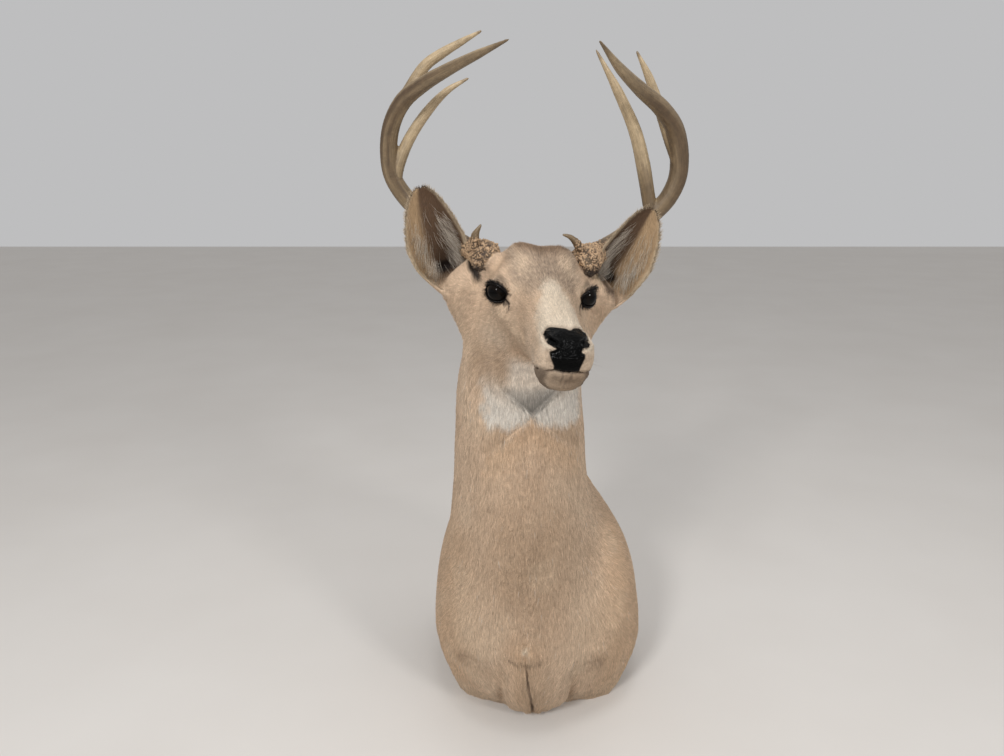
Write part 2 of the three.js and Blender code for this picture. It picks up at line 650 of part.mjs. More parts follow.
// An egg, widest below its middle.
const outline = new THREE.Shape(
  Array.from({ length: 44 }, (_, i) => {
    const angle = (2 * Math.PI * i) / 44;
    const up = Math.sin(angle);
    const halfWidth = BOARD_HALF_WIDTH * (1 - 0.36 * up - 0.16 * up * up);
    return new THREE.Vector2(halfWidth * Math.cos(angle) - 5 - 6 * up, (BOARD_HEIGHT / 2) * up);
  }),
);
const board = new THREE.ExtrudeGeometry(outline, { depth: BOARD_THICKNESS, bevelEnabled: false });
board.rotateX(Math.PI / 2);
board.translate(0, 0, MOUNT_HEIGHT);
add("backboard", solidOf(board), WOOD);

mount.position.z = -MOUNT_HEIGHT;

export default mount;
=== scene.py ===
"""A whitetail buck shoulder mount, dressed over its solids: one skin with lids, nose and mouth, glass
eyes, pearled antlers, a coat of short hair in tufts, and a plain wooden backboard.

Blender's units are metres, +Z is up and the nose points along -Y. Places on the animal are written
in millimetres: in the mount's frame as (x, reach, height), where reach is the distance from the wall
and height is above the lowest level, and in the head's frame as (x, f, u), where f runs forwards to
the nose and u up, from the point midway between the eyes.
"""
from math import radians

import bpy
import numpy as np
from bpy.props import FloatProperty, FloatVectorProperty, IntProperty, PointerProperty
from mathutils import Matrix, Vector
from mathutils.kdtree import KDTree


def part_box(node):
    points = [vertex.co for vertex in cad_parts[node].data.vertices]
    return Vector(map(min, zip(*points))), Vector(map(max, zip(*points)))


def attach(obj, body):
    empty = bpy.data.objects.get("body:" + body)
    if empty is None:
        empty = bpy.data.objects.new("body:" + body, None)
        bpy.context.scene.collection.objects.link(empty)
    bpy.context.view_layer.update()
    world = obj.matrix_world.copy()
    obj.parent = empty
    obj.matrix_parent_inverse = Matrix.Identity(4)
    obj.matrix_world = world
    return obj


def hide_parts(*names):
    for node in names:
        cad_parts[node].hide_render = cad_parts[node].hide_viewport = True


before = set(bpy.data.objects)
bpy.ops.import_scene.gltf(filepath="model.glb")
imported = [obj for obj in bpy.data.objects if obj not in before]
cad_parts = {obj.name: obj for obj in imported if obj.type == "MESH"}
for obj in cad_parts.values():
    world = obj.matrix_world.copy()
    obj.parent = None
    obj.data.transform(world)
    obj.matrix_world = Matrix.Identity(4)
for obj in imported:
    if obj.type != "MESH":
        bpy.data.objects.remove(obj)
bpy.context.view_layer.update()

bl_info = {
    "name": "Buck shoulder mount",
    "version": (1, 0, 0),
    "blender": (4, 5, 0),
    "location": "3D View > Sidebar > Buck Mount",
    "description": "Builds the skin, eyes, antlers and coat of a whitetail buck shoulder mount",
    "category": "Object",
}

MM = 0.001
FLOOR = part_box("backboard")[0].z
LEVEL = FLOOR / MM  # the lowest level in the mount's frame, in millimetres
BOARD_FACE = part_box("backboard")[0].y
CLEARANCE = 0.0002  # between the skin and the floor or the board


# ------------------------------------------------------------------------------ places and sums
def unit(vectors):
    """Vectors, or one vector, made one long."""
    return vectors / np.maximum(np.linalg.norm(vectors, axis=-1, keepdims=True), 1e-12)


def in_metres(places):
    """Places (x, reach, height) as points in Blender's frame."""
    places = np.asarray(places, float)
    return (places * (1, -1, 1) + (0, 0, LEVEL)) * MM


def in_mount(points):
    """Points in Blender's frame as places (x, reach, height)."""
    return (points / MM - (0, 0, LEVEL)) * (1, -1, 1)


HEAD_CENTRE = np.array([-8, -272, 646 + LEVEL])
HEAD_YAW, HEAD_PITCH, HEAD_ROLL = 6.5, 11.5, 4.5  # degrees
HEAD_TURN = np.array(
    Matrix.Rotation(radians(HEAD_YAW), 3, "Z")
    @ Matrix.Rotation(radians(HEAD_PITCH), 3, "X")
    @ Matrix.Rotation(radians(HEAD_ROLL), 3, "Y")
)


def in_head(points):
    """Points in Blender's frame as places (x, f, u) of the head."""
    return (points / MM - HEAD_CENTRE) @ HEAD_TURN * (1, -1, 1)


def from_head(places):
    """Places (x, f, u) of the head as points in Blender's frame."""
    return ((np.asarray(places, float) * (1, -1, 1)) @ HEAD_TURN.T + HEAD_CENTRE) * MM


def head_direction(x, f, u):
    """A direction in the head's frame as a unit vector in Blender's frame."""
    return unit(HEAD_TURN @ np.array([x, -f, u], float))


def rise(values, low, high):
    """0 below low, 1 above high and a smooth slope between. Falls where low is above high."""
    share = np.clip((values - low) / (high - low), 0, 1)
    return share * share * (3 - 2 * share)


def bell(values, middle, width):
    """1 at the middle, falling smoothly to near 0 two widths away."""
    return np.exp(-(((values - middle) / width) ** 2))


def ripple(points, size, seed, count=12):
    """Smooth noise, mostly from -1 to 1, whose swells are about a size across."""
    draw = np.random.default_rng(seed)
    waves = unit(draw.normal(size=(count, points.shape[1])))
    waves *= 2 * np.pi / size / draw.uniform(0.7, 1.8, (count, 1))
    starts = draw.uniform(0, 2 * np.pi, count)
    return np.sin(points @ waves.T + starts).sum(axis=1) / np.sqrt(count)


def near_line(points, line):
    """How far points lie from a line through places, and how far along it from 0 to 1."""
    line = np.asarray(line, float)
    spans = np.linalg.norm(np.diff(line, axis=0), axis=1)
    starts = np.concatenate([[0], np.cumsum(spans)])
    nearest = np.full(len(points), 1e9)
    along = np.zeros(len(points))
    for start, end, passed, span in zip(line, line[1:], starts, spans):
        share = np.clip((points - start) @ (end - start) / span**2, 0, 1)
        gap = np.linalg.norm(points - start - share[:, None] * (end - start), axis=1)
        closer = gap < nearest
        nearest = np.where(closer, gap, nearest)
        along = np.where(closer, (passed + share * span) / starts[-1], along)
    return nearest, along


def flatten(vectors, normals):
    """The part of vectors that lies in the surface, one long."""
    return unit(vectors - (vectors * normals).sum(axis=1, keepdims=True) * normals)


# ------------------------------------------------------------------------------ meshes
RELAX_SHARES = (0.5, -0.53)  # a step towards the neighbours, then one back out, so nothing shrinks


def choose_none():
    for piece in bpy.context.selected_objects:
        piece.select_set(False)


def choose(piece):
    """Selects one object alone and makes it the active one."""
    choose_none()
    piece.select_set(True)
    bpy.context.view_layer.objects.active = piece


def new_piece(name, points, faces):
    """A mesh object from arrays of points and of faces that all have the same number of corners."""
    mesh = bpy.data.meshes.new(name)
    mesh.vertices.add(len(points))
    mesh.vertices.foreach_set("co", np.ascontiguousarray(points, np.float32).ravel())
    mesh.loops.add(faces.size)
    mesh.loops.foreach_set("vertex_index", np.ascontiguousarray(faces, np.int32).ravel())
    mesh.polygons.add(len(faces))
    mesh.polygons.foreach_set("loop_start", np.arange(0, faces.size, faces.shape[1], dtype=np.int32))
    mesh.update(calc_edges=True)
    piece = bpy.data.objects.new(name, mesh)
    bpy.context.scene.collection.objects.link(piece)
    return piece


def read_vectors(items, name):
    """A named vector of each vertex or face, as rows."""
    vectors = np.empty(len(items) * 3, np.float32)
    items.foreach_get(name, vectors)
    return vectors.reshape(-1, 3).astype(float)


def read_points(mesh):
    return read_vectors(mesh.vertices, "co")


def read_normals(mesh):
    return read_vectors(mesh.vertices, "normal")


def write_points(mesh, points):
    mesh.vertices.foreach_set("co", points.astype(np.float32).ravel())
    mesh.update()


def write_colours(mesh, name, colours):
    """Keeps a colour for each vertex as a named attribute."""
    layer = mesh.color_attributes.new(name=name, type="FLOAT_COLOR", domain="POINT")
    with_alpha = np.ones((len(colours), 4), np.float32)
    with_alpha[:, :3] = np.clip(colours, 0, 1)
    layer.data.foreach_set("color", with_alpha.ravel())


def write_values(mesh, name, values):
    """Keeps a number for each vertex as a named attribute."""
    mesh.attributes.new(name=name, type="FLOAT", domain="POINT")
    mesh.attributes[name].data.foreach_set("value", values.astype(np.float32))


def join(pieces):
    """Joins meshes into the first of them."""
    choose(pieces[0])
    for piece in pieces:
        piece.select_set(True)
    bpy.ops.object.join()
    return pieces[0]


def mend(piece, merge=0, outwards=True):
    """Merges points that lie closer than a distance, and turns the faces outwards."""
    choose(piece)
    bpy.ops.object.mode_set(mode="EDIT")
    bpy.ops.mesh.select_all(action="SELECT")
    if merge:
        bpy.ops.mesh.remove_doubles(threshold=merge)
    if outwards:
        bpy.ops.mesh.normals_make_consistent(inside=False)
    bpy.ops.object.mode_set(mode="OBJECT")


def remesh(piece, cell):
    """One closed skin of even cells over all that the piece holds."""
    choose(piece)
    shell = piece.modifiers.new("skin", "REMESH")
    shell.mode = "VOXEL"
    shell.voxel_size = cell
    bpy.ops.object.modifier_apply(modifier=shell.name)


def relax(mesh, rounds):
    """Smooths a mesh without shrinking it, and returns its points. rounds says how often each, or all
    of them, are moved."""
    points = read_points(mesh)
    rounds = np.broadcast_to(rounds, len(points))
    edges = np.empty(len(mesh.edges) * 2, np.int32)
    mesh.edges.foreach_get("vertices", edges)
    first, second = edges.reshape(-1, 2).T
    counts = np.bincount(edges, minlength=len(points))[:, None]
    for turn in range(int(rounds.max())):
        moving = (rounds > turn)[:, None]
        for share in RELAX_SHARES:
            sums = np.stack(
                [
                    np.bincount(first, points[second, axis], len(points))
                    + np.bincount(second, points[first, axis], len(points))
                    for axis in range(3)
                ],
                axis=1,
            )
            points = np.where(moving, points + share * (sums / counts - points), points)
    write_points(mesh, points)
    return points


def shade_smooth(piece):
    piece.data.polygons.foreach_set("use_smooth", np.ones(len(piece.data.polygons), bool))


def finish_piece(piece, finish, slot, *nodes):
    """Gives a piece its material and the nodes that it stands for; the slot is not used."""
    piece.data.materials.clear()
    piece.data.materials.append(finish)
    if nodes:
        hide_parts(*nodes)
    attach(piece, "root")


# ------------------------------------------------------------------------------ shader sums
class Value:
    """A shader socket that can be used in sums with numbers and other sockets."""

    def __init__(self, finish, socket):
        self.finish = finish
        self.socket = socket

    def __add__(self, other):
        return self.finish.sum("ADD", self, other)

    def __radd__(self, other):
        return self.finish.sum("ADD", other, self)

    def __sub__(self, other):
        return self.finish.sum("SUBTRACT", self, other)

    def __rsub__(self, other):
        return self.finish.sum("SUBTRACT", other, self)

    def __mul__(self, other):
        return self.finish.sum("MULTIPLY", self, other)

    def __rmul__(self, other):
        return self.finish.sum("MULTIPLY", other, self)


class Finish:
    """A material with one shader, and the sums that feed it."""

    def __init__(self, name, **constants):
        self.material = bpy.data.materials.new(name)
        self.material.use_nodes = True
        self.nodes = self.material.node_tree.nodes
        self.links = self.material.node_tree.links
        self.shader = self.nodes["Principled BSDF"]
        for socket, value in constants.items():
            self.shader.inputs[socket.replace("_", " ")].default_value = value

    def node(self, kind, settings=None, inputs=None, out=0):
        """Any node: its type, its settings, its sockets' values or links, and the socket to read."""
        node = self.nodes.new(kind)
        for name, value in (settings or {}).items():
            setattr(node, name, value)
        for socket, value in (inputs or {}).items():
            self.plug(node.inputs[socket], value)
        return Value(self, node.outputs[out])

    def plug(self, socket, value):
        if isinstance(value, Value):
            self.links.new(value.socket, socket)
        else:
            socket.default_value = value

    def sum(self, operation, first, second):
        return self.node("ShaderNodeMath", {"operation": operation}, {0: first, 1: second})

    def feed(self, socket, value):
        self.plug(self.shader.inputs[socket], value)

    def place(self):
        """Where a point lies on the piece, in metres."""
        return self.node("ShaderNodeTexCoord", out="Object")

    def attribute(self, name, out="Color"):
        return self.node("ShaderNodeAttribute", {"attribute_name": name}, out=out)

    def noise(self, scale, detail=3, vector=None, rough=0.55):
        sockets = {"Vector": vector or self.place(), "Scale": scale, "Detail": detail, "Roughness": rough}
        return self.node("ShaderNodeTexNoise", inputs=sockets)

    def stretched(self, x, y, z):
        """Places scaled apart along the three axes, for a pattern longer one way."""
        scaled = {"Vector": self.place(), "Scale": (x, y, z)}
        return self.node("ShaderNodeMapping", inputs=scaled)

    def between(self, value, low, high, to_low=0, to_high=1):
        """A value moved from one range to another, and held inside it."""
        spans = {"Value": value, 1: low, 2: high, 3: to_low, 4: to_high}
        return self.node("ShaderNodeMapRange", inputs=spans)

    def blend(self, share, first, second, kind="MIX"):
        """Two colours mixed by a share."""
        settings = {"data_type": "RGBA", "blend_type": kind}
        return self.node("ShaderNodeMix", settings, {0: share, 6: first, 7: second}, out=2)

    def shaded(self, share, colour, shade):
        """A colour darkened or lightened by a shade."""
        return self.blend(share, colour, shade, "MULTIPLY")

    def bump(self, height, distance, strength=1.0, under=None):
        sockets = {"Height": height, "Distance": distance, "Strength": strength}
        if under:
            sockets["Normal"] = under
        return self.node("ShaderNodeBump", inputs=sockets)


def tone(code):
    """A colour from its six-figure screen code, as the light that it reflects."""
    shares = np.array([int(code[i : i + 2], 16) / 255 for i in (0, 2, 4)])
    return np.where(shares > 0.04045, ((shares + 0.055) / 1.055) ** 2.4, shares / 12.92)


def opaque(colour):
    return (*[float(part) for part in colour], 1.0)


# ------------------------------------------------------------------------------ the head's forms
EYE_CENTRE = (52, 2, 2)
EYE_BALL = 16.4
GAZE = (0.65, 0.755, 0.08)
TO_FRONT_CORNER = (-0.9, 1, -0.1)
CORNERS = 66  # degrees from the gaze to each corner of the lids
LID_OPENING = 38  # degrees from the eye's middle line up or down to a lid
LID_REACH = 27  # millimetres from the eye's centre within which the lids shape the skin

# Lines on the right half of the head, as places (x, f, u). The left half mirrors them.
MOUTH = [(0, 188, -14), (10, 186, -14.5), (18, 179, -16), (25, 166, -21), (28, 148, -28), (30, 125, -37)]
MOUTH += [(30, 104, -45)]
NOSTRIL = [(15, 173.5, 12), (18.5, 170, 11.2), (21.5, 164, 10.8), (23.5, 157, 11), (23.5, 151, 12)]
NOSTRIL_FLAP = [(15, 179, 7), (20, 174, 6.6), (25, 167, 6.8)]
TEAR_DUCT = [(44, 20, 1), (43.5, 26, -4), (42, 32, -9)]
LIP_GROOVE = [(0, 184, 4), (0, 190, -8)]
LIP_SWELL = (0, 0, 6)  # from the mouth up or down to the middle of a lip
CHEEK_HOLLOW = [(38, 40, -14), (33, 80, -24)]
BRIDGE_EDGE = [(25, 52, 24), (19, 110, 17)]
LIP_SPOTS = [(30, 100, -45), (29, 104, -50), (31, 97, -40)]

# Lines on the chest, as places (x, reach, height).
SEAM = [(-26, 293, 146), (-24, 293, 132), (-22, 291, 118), (-20, 289, 100), (-17, 285, 80), (-14, 278, 58)]
SEAM += [(-12, 264, 34), (-11, 250, 16)]
CREASES = [
    [(-121, 240, 107), (-108, 256, 112), (-94, 268, 115)],
    [(50, 276, 106), (68, 266, 109), (90, 250, 103)],
]
STUMP_EDGES = [
    [(-61, 285, 119), (-61, 279, 89), (-62, 262, 50), (-60, 235, 8)],
    [(48, 274, 112), (48, 268, 76), (48, 250, 40), (46, 228, 6)],
]
# EAR_GAP and EAR_FOLD run in front of the right and the left ear: pressed in, and painted with painted shade.
EAR_GAP = [(-95, 214, 686), (-93, 224, 672), (-87, 228, 662), (-86, 233, 650)]
EAR_FOLD = [(74, 192, 668), (81, 207, 653), (84, 219, 640), (80, 228, 631)]
THROAT_POINT = (-17, 490)  # x and height of the point where the throat's folds meet
WHORL_POINT = (-25, 154)  # x and height of the whorl of hair above the seam

EARS = {
    "ear_right": {
        "base": (-114, 212, 638),
        "tip": (-163, 198, 773),
        "opens": (0, 0.93, 0.35),
        "half_width": 41,
        "bow": 5,
        "pale_from": (0.1, 0.5),
    },
    "ear_left": {
        "base": (76, 210, 622),
        "tip": (140, 196, 745),
        "opens": (0.3, 0.9, 0.15),
        "half_width": 40,
        "bow": -2,
        "pale_from": (-0.05, 0.2),
    },
}
# Along an ear from base to tip: place, width as a share of half_width, and how far round the cup closes.
EAR_PLACES = (0, 0.14, 0.3, 0.48, 0.64, 0.79, 0.9, 0.97, 1)
EAR_WIDTHS = (0.46, 0.68, 0.92, 1, 0.88, 0.7, 0.5, 0.28, 0.12)
EAR_CLOSES = (140, 116, 86, 62, 55, 50, 48, 42, 40)
EAR_THICKNESS = 4.2
EAR_CURL, EAR_LEAN = 10, 6  # how far the ear's middle bends forwards, and its tip back


def eye_axes(side):
    """An eye's centre, and the ways it looks, to its front corner and up, in the head's frame."""
    mirrored = np.array([side, 1, 1])
    gaze = unit(np.array(GAZE) * mirrored)
    front = np.array(TO_FRONT_CORNER) * mirrored
    front = unit(front - front @ gaze * gaze)
    up = np.cross(gaze, front)
    return np.array(EYE_CENTRE) * mirrored, gaze, front, up * np.sign(up[2])


def lid_height(turn):
    """Degrees from the eye's middle line up or down to the lid, at a turn towards a corner."""
    open_share = np.clip(1 - (turn / CORNERS) ** 2, 0, 1) ** 0.5
    return LID_OPENING * open_share


def folded(places):
    """Places of the head with the right half turned onto the left one, so that x is never negative."""
    return np.abs(places) * (1, 0, 0) + places * (0, 1, 1)


def round_eye(places):
    """How many degrees places of the head lie outside the opening of the nearer eye's lids, how far
    from the eye's centre, and how far forwards and up from it."""
    centre, gaze, front, up = eye_axes(1)
    way = folded(places) - centre
    ahead, along, above = way @ gaze, way @ front, way @ up
    turn = np.degrees(np.arctan2(along, ahead))
    tilt = np.degrees(np.arctan2(above, np.hypot(ahead, along)))
    past_corner = np.hypot(np.abs(turn) - CORNERS, tilt)
    outside = np.where(np.abs(turn) < CORNERS, np.abs(tilt) - lid_height(turn), past_corner)
    return outside, np.linalg.norm(way, axis=1), along, above


def ear_axes(ear):
    """An ear's base, its axis, the way it opens, the way across it, and its length."""
    start = in_metres(ear["base"]) / MM
    axis = in_metres(ear["tip"]) / MM - start
    length = np.linalg.norm(axis)
    axis = axis / length
    opens = np.array(ear["opens"]) * (1, -1, 1)
    opens = unit(opens - opens @ axis * axis)
    return start, axis, opens, np.cross(opens, axis), length


def ear_section(ear, along):
    """The cup at places along an ear: how far round it closes, its radius, and how far ahead of the
    ear's axis and to the side of it the cup's centre lies."""
    close = np.interp(along, EAR_PLACES, EAR_CLOSES)
    cup = np.radians(np.minimum(close, 90))
    radius = ear["half_width"] * np.interp(along, EAR_PLACES, EAR_WIDTHS) / np.sin(cup)
    curl = EAR_CURL * np.sin(np.pi * along) - EAR_LEAN * along
    ahead = curl + radius * np.cos(cup) - 0.4 * radius * (1 - along)
    return close, radius, ahead, ear["bow"] * np.sin(np.pi * along)


def ear_surface(ear, along, share, inner, inset):
    """Points in millimetres on an ear. along runs from base to tip, and share across the cup from -1
    to 1. inner picks the side inside the cup, and inset is how far the skin lies under its hair."""
    start, axis, opens, across, length = ear_axes(ear)
    close, radius, ahead, bow = ear_section(ear, along)
    thickness = np.minimum(EAR_THICKNESS, radius * 0.5)
    at = np.where(inner, radius - thickness + inset, radius - inset)
    angle = np.radians(share * close)
    sideways = bow + at * np.sin(angle)
    outwards = ahead - at * np.cos(angle)
    places = start + np.multiply.outer(along * length, axis)
    return places + sideways[..., None] * across + outwards[..., None] * opens


def round_ear(points, ear):
    """Where points lie by an ear: from base to tip, across the cup, how near its wall is, and how far
    inside the middle of the wall."""
    start, axis, opens, across, length = ear_axes(ear)
    way = points / MM - start
    along = way @ axis / length
    close, radius, ahead, bow = ear_section(ear, np.clip(along, 0, 1))
    sideways = way @ across - bow
    outwards = ahead - way @ opens
    angle = np.degrees(np.arctan2(sideways, outwards))
    within = radius - EAR_THICKNESS / 2 - np.hypot(sideways, outwards)
    past = np.maximum(np.abs(angle) - close, 0) * np.radians(1) * radius
    return along, angle / close, np.hypot(within, past) + 100 * np.maximum(-along, 0), within


def head_share(points):
    """0 on the neck and body, 1 on the head, with a smooth change behind the jaw and the skull."""
    _, reach, height = in_mount(points).T
    lean = radians(44)
    return rise((reach - 222) * np.sin(lean) + (height - 575) * np.cos(lean), -22, 34)


def ear_share(points, low=0.1):
    """1 on the ears, 0 elsewhere. low is how far along an ear its share begins."""
    share = np.zeros(len(points))
    for ear in EARS.values():
        along, _, gap, _ = round_ear(points, ear)
        share = np.maximum(share, rise(along, low, low + 0.2) * rise(gap, 9, 4))
    return share


# ------------------------------------------------------------------------------ skin
FLESH = ("trunk", "neck", "foreleg_stump_left", "foreleg_stump_right", "head", "lower_jaw", "nose_pad")
BRIDGED_CUT = 0.0009  # how far the copies of the solids grow, so that the thin cuts between them close
EAR_INSET = 0.7  # how far an ear's skin lies under its hair, in millimetres
SKIN_CELL = 0.002
SKIN_TRIANGLES = 185000  # before the rims of the lids are added
EYE_FILLING = 0.0173  # radius of the ball that carries the lids


def grown_copy(name, growth):
    """A copy of a node's mesh with its points merged, a little larger."""
    piece = bpy.data.objects.new(name + "_copy", bpy.data.objects[name].data.copy())
    bpy.context.scene.collection.objects.link(piece)
    mend(piece, merge=1e-6, outwards=False)
    points = read_points(piece.data)
    write_points(piece.data, points + growth * read_normals(piece.data))
    return piece


def ring_faces(rings, around):
    """Four-sided faces between rings that each have the same number of points."""
    row = np.arange(rings - 1)[:, None] * around
    first = np.arange(around)[None, :]
    second = (first + 1) % around
    faces = np.stack([row + first, row + second, row + around + second, row + around + first], axis=-1)
    return faces.reshape(-1, 4)


def ear_shell(name):
    """An ear's skin: a leaf-shaped cup with a thin wall, closed at both ends."""
    rings, across = 60, 36
    along = np.repeat(np.linspace(0, 0.995, rings)[:, None], across * 2, axis=1)
    shares = np.linspace(-1, 1, across)
    share = np.repeat(np.concatenate([shares, shares[::-1]])[None, :], rings, axis=0)
    inner = np.repeat(np.arange(across * 2)[None, :] >= across, rings, axis=0)
    rim = 1 - 0.9 * bell(np.abs(share), 1.04, 0.05)
    inset = EAR_INSET + (1 - rim) * 0.8
    points = ear_surface(EARS[name], along, share * (0.97 + 0.03 * rim), inner, inset).reshape(-1, 3)
    ends = [points[: across * 2].mean(axis=0), points[-across * 2 :].mean(axis=0)]
    piece = new_piece(name + "_shell", np.vstack([points, ends]) * MM, ring_faces(rings, across * 2))
    cap_ends(piece, rings, across * 2)
    return piece


def cap_ends(piece, rings, around):
    """Closes a tube of rings with fans onto its last two points, and turns its faces outwards."""
    first_hub, last_hub = rings * around, rings * around + 1
    last = (rings - 1) * around
    each = np.arange(around)
    fans = [np.stack([each, np.full(around, first_hub), (each + 1) % around], axis=1)]
    fans += [np.stack([last + (each + 1) % around, np.full(around, last_hub), last + each], axis=1)]
    cap = new_piece("caps", read_points(piece.data), np.vstack(fans))
    join([piece, cap])
    mend(piece, merge=1e-7)


def skin_depth(points):
    """How far under the tips of the coat the skin lies, in metres."""
    settings = bpy.context.scene.buck_coat
    on_head = head_share(points)
    f = in_head(points)[:, 1]
    face = settings.face_depth * (1 - 0.5 * rise(f, 110, 165))
    depth = settings.body_depth * (1 - on_head) + face * on_head
    return depth * (1 - ear_share(points, -0.3))


def offset_ways(points, normals):
    """The ways in which the skin lies inside the solids: level beside the floor and the board."""
    ways = normals.copy()
    ways[points[:, 2] < FLOOR + 0.004, 2] = 0
    ways[points[:, 1] > BOARD_FACE - 0.004, 1] = 0
    return ways


def refine(piece, near):
    """Halves the faces whose middles are near the places where the skin needs fine detail."""
    mesh = piece.data
    chosen = near(read_vectors(mesh.polygons, "center") / MM)
    mesh.vertices.foreach_set("select", np.zeros(len(mesh.vertices), bool))
    mesh.edges.foreach_set("select", np.zeros(len(mesh.edges), bool))
    mesh.polygons.foreach_set("select", chosen)
    choose(piece)
    bpy.context.tool_settings.mesh_select_mode = (False, False, True)
    bpy.ops.object.mode_set(mode="EDIT")
    bpy.ops.mesh.subdivide(number_cuts=1)
    bpy.ops.object.mode_set(mode="OBJECT")


def fine_places(points):
    """Where the skin's faces are halved: round the eyes and on the end of the muzzle."""
    places = in_head(points * MM)
    by_eye = np.linalg.norm(folded(places) - EYE_CENTRE, axis=1) < LID_REACH
    return by_eye | ((places[:, 1] > 98) & (places[:, 2] < 30))


def press(places, ways, line, width, depth, end_depth=None):
    """Presses a groove along a line, with soft sides. A depth below zero raises a ridge."""
    gap, along = near_line(places, line)
    if end_depth is not None:
        depth = depth + (end_depth - depth) * along
    return places - ways * (depth * bell(gap, 0, width))[:, None]


def sculpt_eye(places):
    """Opens the lids over the eye, and wraps them round it."""
    outside, reach = round_eye(places)[:2]
    lid = EYE_BALL + 1.5 - 5.5 * rise(outside, 0.5, -3)
    wrapped = lid + (reach - lid) * rise(outside, 9, 30)
    wrapped = np.where(reach < LID_REACH, wrapped, reach)
    return EYE_CENTRE + (places - EYE_CENTRE) * (wrapped / reach)[:, None]


def sculpt_nose(places, ways):
    """A nostril with its wing and the flap below it, and the line of the lips."""
    gap, along = near_line(places, NOSTRIL)
    wing = 1.5 * bell(gap, 4.6, 1.9)
    inwards = unit(np.array([-0.7, -0.6, 0.35]))
    hollow = (1 - rise(gap, 0.7, 3.0)) * (8 - 5 * along) * rise(along, -0.15, 0.2)
    places = places + ways * wing[:, None] + inwards * hollow[:, None]
    upper_lip, lower_lip = np.add(MOUTH, LIP_SWELL), np.subtract(MOUTH, LIP_SWELL)
    for line, width, depth in (
        (NOSTRIL_FLAP, 3.2, -1.4),
        (LIP_GROOVE, 1.2, 0.5),
        (MOUTH, 1.5, 3.2),
        (upper_lip, 4, -0.9),
        (lower_lip, 4, -1.0),
    ):
        places = press(places, ways, line, width, depth)
    return places


def sculpt_head(points, normals):
    """The folds and openings of the face, pressed into the skin on both halves alike."""
    places = in_head(points)
    near = places[:, 1] > -60
    mirror = np.where(places[near, :1] < 0, -1, 1) * (1, 0, 0) + (0, 1, 1)
    held = places[near] * mirror
    ways = (normals[near] @ HEAD_TURN) * (1, -1, 1) * mirror
    held = sculpt_eye(held)
    held = press(held, ways, TEAR_DUCT, 1.6, 1.8)
    held = sculpt_nose(held, ways)
    held = press(held, ways, CHEEK_HOLLOW, 12, 1.6)
    held = press(held, ways, BRIDGE_EDGE, 7, -1.0)
    places[near] = held * mirror
    return from_head(places)


def sculpt_chest(points, normals):
    """The seam over the brisket, the creases above the forelegs and the folds of the throat."""
    places = in_mount(points)
    ways = normals * (1, -1, 1)
    low = places[:, 2] < 180
    held, way = places[low], ways[low]
    held = press(held, way, SEAM, 2.6, 3.2, 0.6)
    for side in (-9, 9):
        held = press(held, way, np.array(SEAM) + (side, 0, 0), 5, -1.4)
    for edge in STUMP_EDGES:
        held = press(held, way, edge, 9, 1.5, 13)
    for crease in CREASES:
        held = press(held, way, crease, 8, 2.6)
    places[low] = held
    places = press(places, ways, EAR_GAP, 5, 11, 2)
    places = press(places, ways, EAR_FOLD, 8, 11, 4)
    x, reach, height = places.T
    off = np.abs(x - THROAT_POINT[0])
    fold = height - THROAT_POINT[1] - 0.78 * off
    front = rise(reach, 225, 250) * (1 - head_share(points))
    hollow = 6.5 * rise(fold, -1.5, 5) * rise(off, 56, 34)
    lip = 1.4 * rise(height - THROAT_POINT[1] + 0.87 * off, 1.2, -1.2) * rise(off, 60, 25)
    lip = lip * rise(height, 400, 450)
    places += ways * ((lip - hollow) * front)[:, None]
    return in_metres(places)


def lid_rim(side):
    """The moist rim of an eye's lids: a thin tube along their opening."""
    centre, gaze, front, up = eye_axes(side)
    steps, around = 72, 8
    sweep = np.linspace(0, 2 * np.pi, steps, endpoint=False)
    turn = CORNERS * np.cos(sweep)
    tilt = lid_height(turn) * np.sign(np.sin(sweep))
    turn, tilt = np.radians(turn), np.radians(tilt)
    level = np.cos(tilt)[:, None]
    ways = level * (np.cos(turn)[:, None] * gaze + np.sin(turn)[:, None] * front)
    ways = ways + np.sin(tilt)[:, None] * up
    middles = centre + ways * (EYE_BALL + 0.7)
    runs = unit(np.roll(middles, -1, axis=0) - np.roll(middles, 1, axis=0))
    sides = np.cross(runs, ways)
    thick = 1.25 + 0.35 * rise(np.sin(sweep), 0, 0.6)
    rings = []
    for angle in np.linspace(0, 2 * np.pi, around, endpoint=False):
        spread = np.cos(angle) * ways * 0.8 + np.sin(angle) * sides * 1.3
        rings.append(middles + spread * thick[:, None])
    points = np.stack(rings, axis=1).reshape(-1, 3)
    faces = ring_faces(steps + 1, around) % (steps * around)
    rim = new_piece("lid_rim", from_head(points), faces)
    mend(rim)
    return rim


def thin_body(piece, most):
    """Merges small faces on the neck and body until the skin has no more than a number of triangles."""
    mesh = piece.data
    points = read_points(mesh)
    plain = 1 - np.maximum(rise(in_head(points)[:, 1], -60, -25) * head_share(points), ear_share(points))
    group = piece.vertex_groups.new(name="plain")
    for level in np.linspace(0.1, 1, 10):
        chosen = np.flatnonzero((plain > level - 0.1) & (plain <= level))
        group.add(chosen.tolist(), float(level), "REPLACE")
    mesh.calc_loop_triangles()
    choose(piece)
    thinner = piece.modifiers.new("thinner", "DECIMATE")
    thinner.ratio = most / len(mesh.loop_triangles)
    thinner.vertex_group = group.name
    bpy.ops.object.modifier_apply(modifier=thinner.name)
    piece.vertex_groups.clear()


